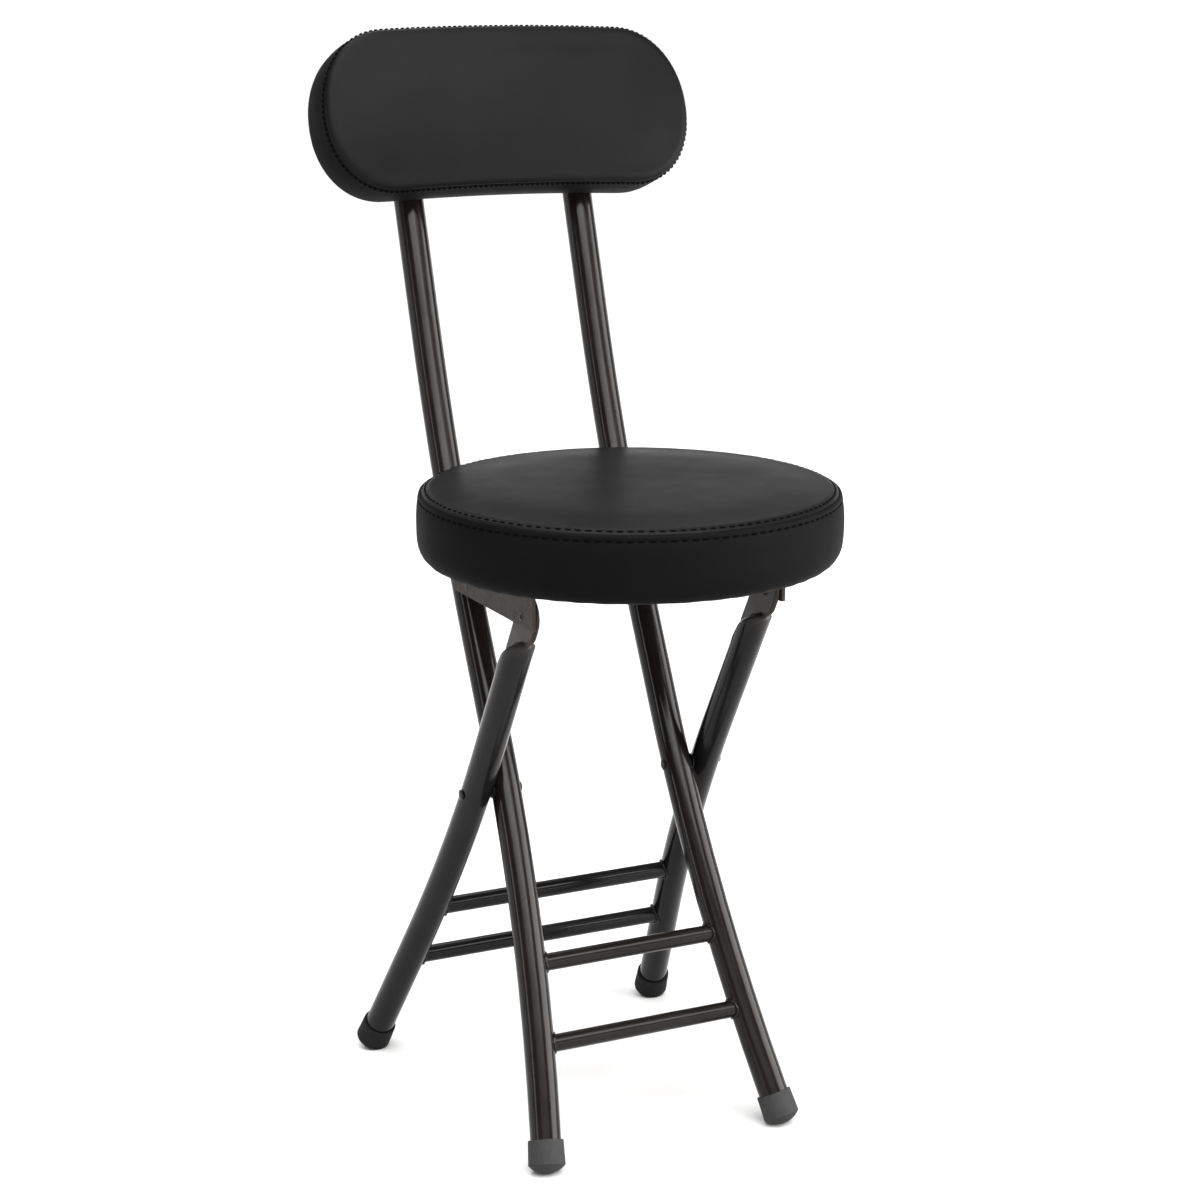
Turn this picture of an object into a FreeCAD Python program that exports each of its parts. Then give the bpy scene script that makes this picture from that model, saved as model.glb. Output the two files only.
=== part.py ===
import FreeCAD, Part
import math
import os

import Sketcher
from FreeCAD import Placement, Rotation, Vector

# Folding stool: two bent uprights run from the front feet up to a padded
# backrest, two rear legs cross them at a rivet and carry the front of a round
# padded seat.  The seat hooks over two pins on the uprights and tips up when
# the legs scissor shut.  Millimetres, +Z up, -Y is the front, +X the sitter's
# left.  The floor is z = 0 and the origin is under the middle of the outline.

doc = FreeCAD.newDocument("folding_stool")
sheet = doc.addObject("Spreadsheet::Sheet", "sizes")

DIMENSIONS = [
    ("seat_centre_y", -61.18, "Y of the seat's centre"),
    ("tube_od", 22.2, "main tube, outside diameter"),
    ("tube_wall", 1.2, "main tube, wall"),
    ("upright_gap", 69.6, "upright axis to the middle plane, upper part"),
    ("upright_foot_x", 96.4, "upright axis at the floor, sideways"),
    ("upright_foot_y", -65.7, "upright axis at the floor, from the seat's centre"),
    ("upright_lean", 0.5119, "lower upright, run back per rise"),
    ("upright_flare_z", 154.5, "height of the flare's corner"),
    ("upright_flare_tan", 147.0, "flare bend, tangent length"),
    ("upright_bend_z", 455.7, "height of the back bend's corner"),
    ("upright_bend_tan", 123.0, "back bend, tangent length"),
    ("upright_top_lean", 0.32, "upper upright, run back per rise"),
    ("upright_top_z", 749.0, "end of the upright's axis"),
    ("leg_gap", 93.2, "rear leg axis to the middle plane, upper part"),
    ("leg_foot_x", 123.7, "rear leg axis at the floor, sideways"),
    ("leg_foot_y", 209.1, "rear leg axis at the floor, from the seat's centre"),
    ("leg_lean", 0.5996, "rear leg, run forward per rise"),
    ("leg_flare_z", 198.0, "height of the flare's corner"),
    ("leg_flare_tan", 106.0, "flare bend, tangent length"),
    ("pivot_z", 401.0, "seat pivot height"),
    ("tongue_wide", 33.4, "flattened leg end, width"),
    ("tongue_thick", 4.0, "flattened leg end, thickness"),
    ("tongue_flat", 20.4, "flat part below the pivot"),
    ("tongue_round", 28.0, "round tube starts this far below the pivot"),
    ("rivet_d", 8.0, "hook pins, shank"),
    ("cross_d", 6.0, "crossing rivet, shank"),
    ("cross_head_d", 7.6, "crossing rivet, head"),
    ("cross_head_t", 0.8, "crossing rivet, head height"),
    ("seat_rivet_d", 6.0, "seat rivet, shank"),
    ("seat_rivet_head_d", 11.0, "seat rivet, inner head"),
    ("seat_rivet_head_t", 2.0, "seat rivet, inner head height"),
    ("seat_rivet_dish", 1.9, "seat rivet, radius of the dish in its outer end"),
    ("running_gap", 0.08, "radial clearance of a turning hole"),
    ("rivet_head_d", 13.0, "hook pin, head"),
    ("rivet_head_t", 2.4, "hook pin, head height"),
    ("washer_d", 11.5, "crossing washer"),
    ("washer_t", 0.7, "crossing washer, thickness"),
    ("rung_od", 12.7, "rung tube, outside diameter"),
    ("rung_wall", 1.2, "rung tube, wall"),
    ("front_rung_high", 132.0, "upper front rung, height"),
    ("front_rung_low", 80.6, "lower front rung, height"),
    ("rear_rung_high", 138.0, "upper rear rung, height"),
    ("rear_rung_low", 89.6, "lower rear rung, height"),
    ("foot_od", 26.6, "foot cap, outside diameter"),
    ("foot_mouth_od", 25.6, "foot cap, diameter at its mouth"),
    ("foot_long", 23.5, "foot cap, length"),
    ("foot_dome", 5.3, "foot cap, rise of the domed sole"),
    ("foot_dome_rad", 17.6, "foot cap, radius of the domed sole"),
    ("foot_sole", 8.0, "foot cap, sole thickness"),
    ("foot_worn", 0.6, "depth of the flat that meets the floor"),
    ("seat_rad", 150.0, "seat radius at mid band"),
    ("seat_low", 428.5, "underside of the seat"),
    ("seat_high", 481.0, "crown of the seat"),
    ("seam_rad", 146.3, "seat seam radius"),
    ("seam_z", 476.3, "seat seam height"),
    ("band_high", 463.0, "top of the band's upright part"),
    ("band_edge", 139.5, "start of the seat's lower edge curve"),
    ("band_hem", 128.0, "inner edge of the cover's hem"),
    ("cover_t", 1.2, "seat cover thickness"),
    ("board_rad", 136.0, "seat board radius"),
    ("board_t", 11.0, "seat board thickness"),
    ("bracket_in", 95.7, "seat bracket web, inner face"),
    ("bracket_t", 2.5, "seat bracket sheet"),
    ("bracket_front", -49.5, "front edge of the bracket"),
    ("bracket_rear", 88.0, "rear edge of the bracket"),
    ("bracket_low", 394.0, "lower edge of the bracket"),
    ("bracket_corner", 1.2, "corner radius of the bracket"),
    ("flange_wide", 26.0, "bracket flange, reach inward"),
    ("strap_front", 40.0, "front edge of the hook strap"),
    ("strap_rear", 156.5, "rear end of the hook strap"),
    ("strap_low", 396.5, "lower edge of the strap's wide part"),
    ("strap_hook_low", 405.5, "lower edge at the hook"),
    ("strap_high", 424.0, "upper edge of the strap"),
    ("strap_rivet_y", 64.0, "strap rivet, from the seat's centre"),
    ("strap_rivet_z", 400.9, "strap rivet, lower one"),
    ("strap_rivet_up", 16.0, "second strap rivet above the first"),
    ("strap_rivet_d", 5.0, "strap rivet shank"),
    ("hook_z", 413.0, "hook pin height"),
    ("hook_gap", 0.35, "room round the pin in the hook"),
    ("hook_slant", 25.0, "hook mouth, degrees off vertical"),
    ("pin_inner", 74.0, "inner end of the hook pin"),
    ("pin_head_in", 96.2, "inner face of the hook pin's head"),
    ("screw_d", 4.0, "seat screw shank"),
    ("screw_head_d", 8.4, "seat screw head"),
    ("screw_head_t", 2.4, "seat screw head, height"),
    ("screw_deep", 12.0, "seat screw, length above the flange's underside"),
    ("back_wide", 286.0, "backrest width"),
    ("back_tall", 120.0, "backrest height along its lean"),
    ("back_low", -46.0, "lower edge from the datum point"),
    ("back_datum_z", 700.0, "datum point on the upright's axis"),
    ("back_near", 11.3, "rear face in front of the axis"),
    ("back_deep", 45.4, "backrest thickness"),
    ("back_cover_t", 1.4, "backrest cover thickness"),
    ("back_board_t", 10.0, "backrest board"),
    ("bolt_d", 6.0, "backrest bolt"),
    ("bolt_head_d", 12.5, "backrest bolt head"),
    ("bolt_head_t", 3.2, "backrest bolt head, height"),
    ("bolt_low", -22.0, "lower bolt from the datum point"),
    ("bolt_high", 30.0, "upper bolt from the datum point"),
    ("nut_d", 9.0, "tee nut barrel"),
    ("nut_flange_d", 17.0, "tee nut flange"),
    ("nut_flange_t", 1.6, "tee nut flange, thickness"),
    ("plug_head", 4.0, "end plug, height of its head"),
    ("plug_deep", 16.0, "end plug, length inside the tube"),
]
VALUES = {}
for row, (alias, number, note) in enumerate(DIMENSIONS, 1):
    sheet.set("A%d" % row, alias)
    sheet.set("B%d" % row, str(number))
    sheet.setAlias("B%d" % row, alias)
    sheet.set("C%d" % row, note)
doc.recompute()
for alias, number, note in DIMENSIONS:
    VALUES[alias] = float(sheet.get(alias))


class Size:
    """A length with the formula that binds it to the sheet."""

    def __init__(self, text, value):
        self.text = text
        self.value = value

    def other(self, b):
        return b if isinstance(b, Size) else Size(repr(float(b)), float(b))

    def __add__(self, b):
        b = self.other(b)
        return Size("(%s + %s)" % (self.text, b.text), self.value + b.value)

    def __sub__(self, b):
        b = self.other(b)
        return Size("(%s - %s)" % (self.text, b.text), self.value - b.value)

    def __mul__(self, b):
        b = self.other(b)
        return Size("(%s * %s)" % (self.text, b.text), self.value * b.value)

    def __truediv__(self, b):
        b = self.other(b)
        return Size("(%s / %s)" % (self.text, b.text), self.value / b.value)


def S(alias):
    return Size("sizes." + alias, VALUES[alias])


def num(value):
    return Size(repr(float(value)), float(value))


def v(alias):
    return VALUES[alias]


CY = v("seat_centre_y")
NODES = []


def node(obj, label):
    obj.Label = label
    NODES.append((label, obj))
    return obj


def plane(body, role):
    for f in body.Origin.OriginFeatures:
        if f.Role == role:
            return f


def place(obj, base, rotation=None):
    """Put an object at a base given as three sizes, bound to the sheet."""
    obj.Placement = Placement(
        Vector(*[b.value for b in base]), rotation or Rotation()
    )
    for axis, b in zip("xyz", base):
        if "sizes." in b.text:
            obj.setExpression("Placement.Base." + axis, b.text)


def outline(sketch, corners, arcs=None):
    """Closed outline through the corners; arcs maps a side's index to (radius, side)."""
    arcs = arcs or {}
    n = len(corners)
    ends = []
    for i in range(n):
        p = Vector(corners[i][0].value, corners[i][1].value, 0)
        q = Vector(corners[(i + 1) % n][0].value, corners[(i + 1) % n][1].value, 0)
        if i in arcs:
            radius, side = arcs[i]
            chord = q - p
            half = chord.Length / 2
            across = Vector(-chord.y, chord.x, 0).normalize()
            rise = radius.value - math.sqrt(radius.value ** 2 - half ** 2)
            mid = (p + q) * 0.5 + across * (rise * side)
            g = sketch.addGeometry(Part.Arc(p, mid, q), False)
            first = 1 if (sketch.getPoint(g, 1) - p).Length < 1e-6 else 2
            ends.append((g, first, 3 - first))
            k = sketch.addConstraint(Sketcher.Constraint("Radius", g, radius.value))
            if "sizes." in radius.text:
                sketch.setExpression("Constraints[%d]" % k, radius.text)
        else:
            g = sketch.addGeometry(Part.LineSegment(p, q), False)
            ends.append((g, 1, 2))
    for i in range(n):
        a, b = ends[i - 1], ends[i]
        sketch.addConstraint(Sketcher.Constraint("Coincident", a[0], a[2], b[0], b[1]))
    for i in range(n):
        g, start, stop = ends[i]
        for kind, size, axis in (
            ("DistanceX", corners[i][0], -2),
            ("DistanceY", corners[i][1], -1),
        ):
            if abs(size.value) < 1e-9:
                sketch.addConstraint(Sketcher.Constraint("PointOnObject", g, start, axis))
            else:
                k = sketch.addConstraint(Sketcher.Constraint(kind, g, start, size.value))
                if "sizes." in size.text:
                    sketch.setExpression("Constraints[%d]" % k, size.text)


def ring(sketch, x, y, radius):
    g = sketch.addGeometry(
        Part.Circle(Vector(x.value, y.value, 0), Vector(0, 0, 1), radius.value), False
    )
    for kind, size, axis in (("DistanceX", x, -2), ("DistanceY", y, -1)):
        if abs(size.value) < 1e-9:
            sketch.addConstraint(Sketcher.Constraint("PointOnObject", g, 3, axis))
        else:
            k = sketch.addConstraint(Sketcher.Constraint(kind, g, 3, size.value))
            if "sizes." in size.text:
                sketch.setExpression("Constraints[%d]" % k, size.text)
    k = sketch.addConstraint(Sketcher.Constraint("Radius", g, radius.value))
    if "sizes." in radius.text:
        sketch.setExpression("Constraints[%d]" % k, radius.text)


def new_sketch(body, name, role):
    sketch = body.newObject("Sketcher::SketchObject", name)
    sketch.AttachmentSupport = [(plane(body, role), "")]
    sketch.MapMode = "FlatFace"
    return sketch


def turned(name, corners, arcs=None):
    """A turned piece: the outline in radius and height, spun about the height axis."""
    body = doc.addObject("PartDesign::Body", name)
    sketch = new_sketch(body, name + "_profile", "XZ_Plane")
    outline(sketch, corners, arcs)
    spin = body.newObject("PartDesign::Revolution", name + "_spin")
    spin.Profile = sketch
    spin.ReferenceAxis = (sketch, ["V_Axis"])
    spin.Angle = 360.0
    return body


def sheet_metal(name, role, corners, thickness, arcs=None, holes=()):
    """A flat piece: an outline with holes, padded to its thickness."""
    body = doc.addObject("PartDesign::Body", name)
    sketch = new_sketch(body, name + "_outline", role)
    outline(sketch, corners, arcs)
    for x, y, radius in holes:
        ring(sketch, x, y, radius)
    pad = body.newObject("PartDesign::Pad", name + "_pad")
    pad.Profile = sketch
    pad.Length = thickness.value
    pad.setExpression("Length", thickness.text)
    return body


TO_X = Rotation(Vector(0, 0, 1), Vector(1, 0, 0))
TO_MINUS_X = Rotation(Vector(0, 0, 1), Vector(-1, 0, 0))


# ---------------------------------------------------------------- tube paths
def rounded_path(points, tangents):
    edges = []
    last = points[0]
    for i in range(1, len(points) - 1):
        d1 = (points[i] - points[i - 1]).normalize()
        d2 = (points[i + 1] - points[i]).normalize()
        turn = d1.getAngle(d2)
        reach = tangents[i - 1]
        radius = reach / math.tan(turn / 2)
        p1 = points[i] - d1 * reach
        p2 = points[i] + d2 * reach
        inward = (d2 - d1).normalize()
        mid = points[i] + inward * (radius / math.cos(turn / 2) - radius)
        if (p1 - last).Length > 1e-3:
            edges.append(Part.LineSegment(last, p1).toShape())
        edges.append(Part.Arc(p1, mid, p2).toShape())
        last = p2
    edges.append(Part.LineSegment(last, points[-1]).toShape())
    return Part.Wire(edges)


def pipe(path, radius):
    first = path.Edges[0]
    start = first.valueAt(first.FirstParameter)
    along = first.tangentAt(first.FirstParameter)
    maker = Part.BRepOffsetAPI.MakePipeShell(path)
    maker.setFrenetMode(False)
    maker.add(Part.Wire([Part.makeCircle(radius, start, along)]))
    maker.build()
    maker.makeSolid()
    return maker.shape()


def at_height(path, z):
    for edge in path.Edges:
        a, b = edge.FirstParameter, edge.LastParameter
        za, zb = edge.valueAt(a).z, edge.valueAt(b).z
        if min(za, zb) - 1e-9 <= z <= max(za, zb) + 1e-9:
            for step in range(60):
                c = (a + b) / 2
                if (edge.valueAt(c).z - z) * (edge.valueAt(a).z - z) <= 0:
                    b = c
                else:
                    a = c
            return edge.valueAt((a + b) / 2)
    raise ValueError("no point of the path is %.1f high" % z)


def cap_rise(tilt):
    """Distance up the axis from the floor to the middle of the cap's sole."""
    r = v("foot_dome_rad")
    return (r - v("foot_worn")) / math.cos(tilt) - r


tube_r = v("tube_od") / 2
bore_r = tube_r - v("tube_wall")

# The upright and the rear leg cross where both axes have the same Y and Z.
cross_z = (v("leg_foot_y") - v("upright_foot_y")) / (v("upright_lean") + v("leg_lean"))
cross_y = v("upright_foot_y") + v("upright_lean") * cross_z
pivot_y = v("leg_foot_y") - v("leg_lean") * v("pivot_z")
leg_up = Vector(0, -v("leg_lean"), 1).normalize()
leg_across = Vector(0, leg_up.z, -leg_up.y)


def upright_path(sx):
    foot = Vector(sx * v("upright_foot_x"), CY + v("upright_foot_y"), 0)
    flare = Vector(
        sx * v("upright_gap"),
        CY + v("upright_foot_y") + v("upright_lean") * v("upright_flare_z"),
        v("upright_flare_z"),
    )
    bend = Vector(
        sx * v("upright_gap"),
        CY + v("upright_foot_y") + v("upright_lean") * v("upright_bend_z"),
        v("upright_bend_z"),
    )
    rise = v("upright_top_z") - v("upright_bend_z")
    top = Vector(bend.x, bend.y + v("upright_top_lean") * rise, v("upright_top_z"))
    axis = (flare - foot).normalize()
    sole = foot + axis * cap_rise(axis.getAngle(Vector(0, 0, 1)))
    start = sole + axis * v("foot_sole")
    path = rounded_path(
        [start, flare, bend, top], [v("upright_flare_tan"), v("upright_bend_tan")]
    )
    return path, sole, axis, top


def leg_path(sx):
    foot = Vector(sx * v("leg_foot_x"), CY + v("leg_foot_y"), 0)
    flare = Vector(
        sx * v("leg_gap"),
        CY + v("leg_foot_y") - v("leg_lean") * v("leg_flare_z"),
        v("leg_flare_z"),
    )
    pivot = Vector(sx * v("leg_gap"), CY + pivot_y, v("pivot_z"))
    axis = (flare - foot).normalize()
    sole = foot + axis * cap_rise(axis.getAngle(Vector(0, 0, 1)))
    start = sole + axis * v("foot_sole")
    end = pivot - leg_up * v("tongue_round")
    return rounded_path([start, flare, end], [v("leg_flare_tan")]), sole, axis, pivot


def feature(name, shape):
    obj = doc.addObject("Part::Feature", name)
    obj.Shape = shape
    return obj


# Backrest frame: local Y runs up along the lean, local Z points to the front.
back_turn = 90.0 - math.degrees(math.atan(v("upright_top_lean")))
BACK = Rotation(Vector(1, 0, 0), back_turn)
back_up = BACK.multVec(Vector(0, 1, 0))
back_front = BACK.multVec(Vector(0, 0, 1))
datum_y = (
    CY
    + v("upright_foot_y")
    + v("upright_lean") * v("upright_bend_z")
    + v("upright_top_lean") * (v("back_datum_z") - v("upright_bend_z"))
)
BACK_DATUM = Vector(0, datum_y, v("back_datum_z"))


def bar(x0, x1, y, z, radius):
    low, high = min(x0, x1), max(x0, x1)
    return Part.makeCylinder(radius, high - low, Vector(low, y, z), Vector(1, 0, 0))


# ------------------------------------------------------------------ uprights
hook_at = {}
cross_at = {}
upright_skin = {}
upright_end = {}
for side, sx in (("left", 1), ("right", -1)):
    path, sole, axis, top = upright_path(sx)
    skin = pipe(path, tube_r)
    tube = skin.cut(pipe(path, bore_r))
    at_cross = at_height(path, cross_z)
    at_hook = at_height(path, v("hook_z"))
    hook_at[side] = at_hook
    cross_at[side] = at_cross
    upright_skin[side] = feature(side + "_upright_skin", skin)
    upright_end[side] = (sole, axis, top)
    tube = tube.cut(
        bar(sx * 40, sx * 90, CY + cross_y, cross_z, v("cross_d") / 2)
    )
    tube = tube.cut(bar(sx * v("upright_gap"), sx * 90, at_hook.y, at_hook.z, v("rivet_d") / 2))
    for up in (v("bolt_low"), v("bolt_high")):
        spot = BACK_DATUM + Vector(sx * v("upright_gap"), 0, 0) + back_up * up
        tube = tube.cut(
            Part.makeCylinder(v("bolt_d") / 2, 60, spot - back_front * 30, back_front)
        )
    node(feature(side + "_upright", tube), side + "_upright_tube")

# ----------------------------------------------------------------- rear legs
leg_skin = {}
leg_end = {}
leg_cross_x = {}
for side, sx in (("left", 1), ("right", -1)):
    path, sole, axis, pivot = leg_path(sx)
    skin = pipe(path, tube_r)
    tube = skin.cut(pipe(path, bore_r))
    leg_skin[side] = feature(side + "_leg_skin", skin)
    leg_end[side] = (sole, axis)
    leg_cross_x[side] = at_height(path, cross_z).x
    # The upper end is pressed flat: a round section runs into a wide thin one.
    out = Vector(1, 0, 0)
    half_w, half_t = v("tongue_wide") / 2, v("tongue_thick") / 2

    def spot(below, across, outward):
        return pivot - leg_up * below + leg_across * across + out * outward

    c, s = math.cos(math.radians(35)), math.sin(math.radians(35))
    low = v("tongue_round")

    def on_tube(a):
        return spot(low, tube_r * math.cos(a), tube_r * math.sin(a))

    r35 = math.radians(35)
    round_wire = Part.Wire(
        [
            Part.Arc(on_tube(r35), on_tube(math.pi / 2), on_tube(math.pi - r35)).toShape(),
            Part.Arc(on_tube(math.pi - r35), on_tube(math.pi), on_tube(math.pi + r35)).toShape(),
            Part.Arc(on_tube(math.pi + r35), on_tube(1.5 * math.pi), on_tube(-r35)).toShape(),
            Part.Arc(on_tube(-r35), on_tube(0), on_tube(r35)).toShape(),
        ]
    )
    flat = v("tongue_flat")
    lip = half_w - half_t
    flat_wire = Part.Wire(
        [
            Part.LineSegment(spot(flat, lip, half_t), spot(flat, -lip, half_t)).toShape(),
            Part.Arc(spot(flat, -lip, half_t), spot(flat, -half_w, 0), spot(flat, -lip, -half_t)).toShape(),
            Part.LineSegment(spot(flat, -lip, -half_t), spot(flat, lip, -half_t)).toShape(),
            Part.Arc(spot(flat, lip, -half_t), spot(flat, half_w, 0), spot(flat, lip, half_t)).toShape(),
        ]
    )
    press = Part.makeLoft([round_wire, flat_wire], True, True)
    blade = Part.Face(flat_wire).extrude(leg_up * flat)
    tip = Part.makeCylinder(half_w, 2 * half_t, pivot - out * half_t, out)
    tip = tip.makeFillet(half_t * 0.9, [e for e in tip.Edges if e.Closed and e.BoundBox.XLength < 1e-6])
    leg = tube.fuse([press, blade, tip]).removeSplitter()
    hole = v("seat_rivet_d") / 2 + v("running_gap")
    leg = leg.cut(bar(sx * 80, sx * 110, pivot.y, pivot.z, hole))
    hole = v("cross_d") / 2 + v("running_gap")
    leg = leg.cut(bar(sx * 70, sx * 120, CY + cross_y, cross_z, hole))
    node(feature(side + "_leg", leg), side + "_rear_leg_tube")


# --------------------------------------------------------------------- rungs
def rung(name, level, foot_y, lean, skins, reach):
    y = S("seat_centre_y") + foot_y + lean * level
    outer = doc.addObject("Part::Cylinder", name + "_outer")
    inner = doc.addObject("Part::Cylinder", name + "_bore")
    for part, radius in (
        (outer, S("rung_od") / 2),
        (inner, S("rung_od") / 2 - S("rung_wall")),
    ):
        part.Radius = radius.value
        part.setExpression("Radius", radius.text)
        part.Height = (reach * 2).value
        part.setExpression("Height", (reach * 2).text)
        place(part, (num(0) - reach, y, level), TO_X)
    hollow = doc.addObject("Part::Cut", name + "_hollow")
    hollow.Base, hollow.Tool = outer, inner
    both = doc.addObject("Part::MultiFuse", name + "_legs")
    both.Shapes = [skins["left"], skins["right"]]
    coped = doc.addObject("Part::Cut", name)
    coped.Base, coped.Tool = hollow, both
    return node(coped, name)


front_reach = S("upright_gap") + 6.0
rung("front_upper_rung", S("front_rung_high"), S("upright_foot_y"), S("upright_lean"), upright_skin, front_reach)
rung("front_lower_rung", S("front_rung_low"), S("upright_foot_y"), S("upright_lean"), upright_skin, front_reach + 7.0)
rear_reach = S("leg_gap") + 10.0
back_lean = num(0) - S("leg_lean")
rung("rear_upper_rung", S("rear_rung_high"), S("leg_foot_y"), back_lean, leg_skin, rear_reach)
rung("rear_lower_rung", S("rear_rung_low"), S("leg_foot_y"), back_lean, leg_skin, rear_reach + 7.0)


# ---------------------------------------------------------------------- feet
def foot(name, sole, axis):
    body = turned(
        name + "_turned",
        [
            (num(0), num(0)),
            (num(1.5), num(0)),
            (S("foot_od") / 2 - 0.7, S("foot_dome")),
            (S("foot_od") / 2, S("foot_dome") + 0.8),
            (S("foot_mouth_od") / 2, S("foot_long")),
            (S("tube_od") / 2, S("foot_long")),
            (S("tube_od") / 2, S("foot_sole")),
            (num(0), S("foot_sole")),
        ],
        {1: (S("foot_dome_rad"), -1)},
    )
    body.Placement = Placement(sole, Rotation(Vector(0, 0, 1), axis))
    room = doc.addObject("Part::Box", name + "_above_floor")
    for side in ("Length", "Width", "Height"):
        setattr(room, side, 4 * v("foot_long"))
        room.setExpression(side, (S("foot_long") * 4).text)
    room.Placement = Placement(
        Vector(sole.x - 2 * v("foot_long"), sole.y - 2 * v("foot_long"), 0), Rotation()
    )
    cap = doc.addObject("Part::Common", name)
    cap.Base, cap.Tool = body, room
    return node(cap, name)


for side in ("left", "right"):
    foot(side + "_front_foot", upright_end[side][0], upright_end[side][1])
    foot(side + "_rear_foot", leg_end[side][0], leg_end[side][1])

# ------------------------------------------------------------- upright plugs
for side in ("left", "right"):
    top = upright_end[side][2]
    plug = turned(
        side + "_upright_plug",
        [
            (num(0), num(0) - S("plug_deep")),
            (S("tube_od") / 2 - S("tube_wall"), num(0) - S("plug_deep")),
            (S("tube_od") / 2 - S("tube_wall"), num(0)),
            (S("tube_od") / 2, num(0)),
            (S("tube_od") / 2, num(1.2)),
            (num(4.0), S("plug_head")),
            (num(0), S("plug_head")),
        ],
        {4: (num(16.0), -1)},
    )
    plug.Placement = Placement(top, Rotation(Vector(0, 0, 1), back_up))
    node(plug, side + "_upright_plug")

# ------------------------------------------------------- pins, rivets, washers
head_r = S("rivet_head_d") / 2
shank_r = S("rivet_d") / 2
for side, sx in (("left", 1), ("right", -1)):
    turn = TO_X if sx > 0 else TO_MINUS_X
    sign = num(sx)
    # Hook pin: stands out of the upright and ends in a flat head.
    long = S("pin_head_in") - S("pin_inner")
    pin = turned(
        side + "_hook_pin",
        [
            (num(0), num(0)),
            (shank_r, num(0)),
            (shank_r, long),
            (head_r, long),
            (head_r, long + S("rivet_head_t")),
            (num(0), long + S("rivet_head_t")),
        ],
    )
    place(pin, (sign * S("pin_inner"), num(hook_at[side].y), S("hook_z")), turn)
    node(pin, side + "_hook_pin")
    # Crossing rivet: through the upright and the rear leg, a low head at each end.
    inner = num(abs(cross_at[side].x) - tube_r - 0.1)
    outer = num(abs(leg_cross_x[side]) + tube_r + 0.55)
    cross_r = S("cross_d") / 2
    cross_head = S("cross_head_d") / 2
    cross_t = S("cross_head_t")
    cross = turned(
        side + "_cross_rivet",
        [
            (num(0), inner - cross_t),
            (cross_head * 0.62, inner - cross_t),
            (cross_head, inner - 0.3),
            (cross_head, inner),
            (cross_r, inner),
            (cross_r, outer),
            (cross_head, outer),
            (cross_head, outer + 0.3),
            (cross_head * 0.62, outer + cross_t),
            (num(0), outer + cross_t),
        ],
    )
    place(cross, (num(0), num(CY + cross_y), num(cross_z)), turn)
    node(cross, side + "_cross_rivet")
    start = num(abs(cross_at[side].x) + tube_r + 0.2)
    washer = turned(
        side + "_cross_washer",
        [
            (cross_r, start),
            (S("washer_d") / 2, start),
            (S("washer_d") / 2, start + S("washer_t")),
            (cross_r, start + S("washer_t")),
        ],
    )
    place(washer, (num(0), num(CY + cross_y), num(cross_z)), turn)
    node(washer, side + "_cross_washer")
    # Seat rivet: fixed in the bracket's web, its outer end closed flush with a dish,
    # and the flattened leg end turns on it.
    face = S("bracket_in") + S("bracket_t")
    back = S("leg_gap") - S("tongue_thick") / 2 - 0.4
    seat_r = S("seat_rivet_d") / 2
    seat_head = S("seat_rivet_head_d") / 2
    dish = S("seat_rivet_dish")
    seat_rivet = turned(
        side + "_seat_rivet",
        [
            (num(0), back - S("seat_rivet_head_t")),
            (seat_head * 0.7, back - S("seat_rivet_head_t")),
            (seat_head, back - 0.6),
            (seat_head, back),
            (seat_r, back),
            (seat_r, face + 0.2),
            (dish + 0.5, face + 0.35),
            (dish, face + 0.35),
            (dish * 0.5, face - 0.3),
            (num(0), face - 0.3),
        ],
    )
    place(seat_rivet, (num(0), S("seat_centre_y") + pivot_y, S("pivot_z")), turn)
    node(seat_rivet, side + "_seat_rivet")

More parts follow.
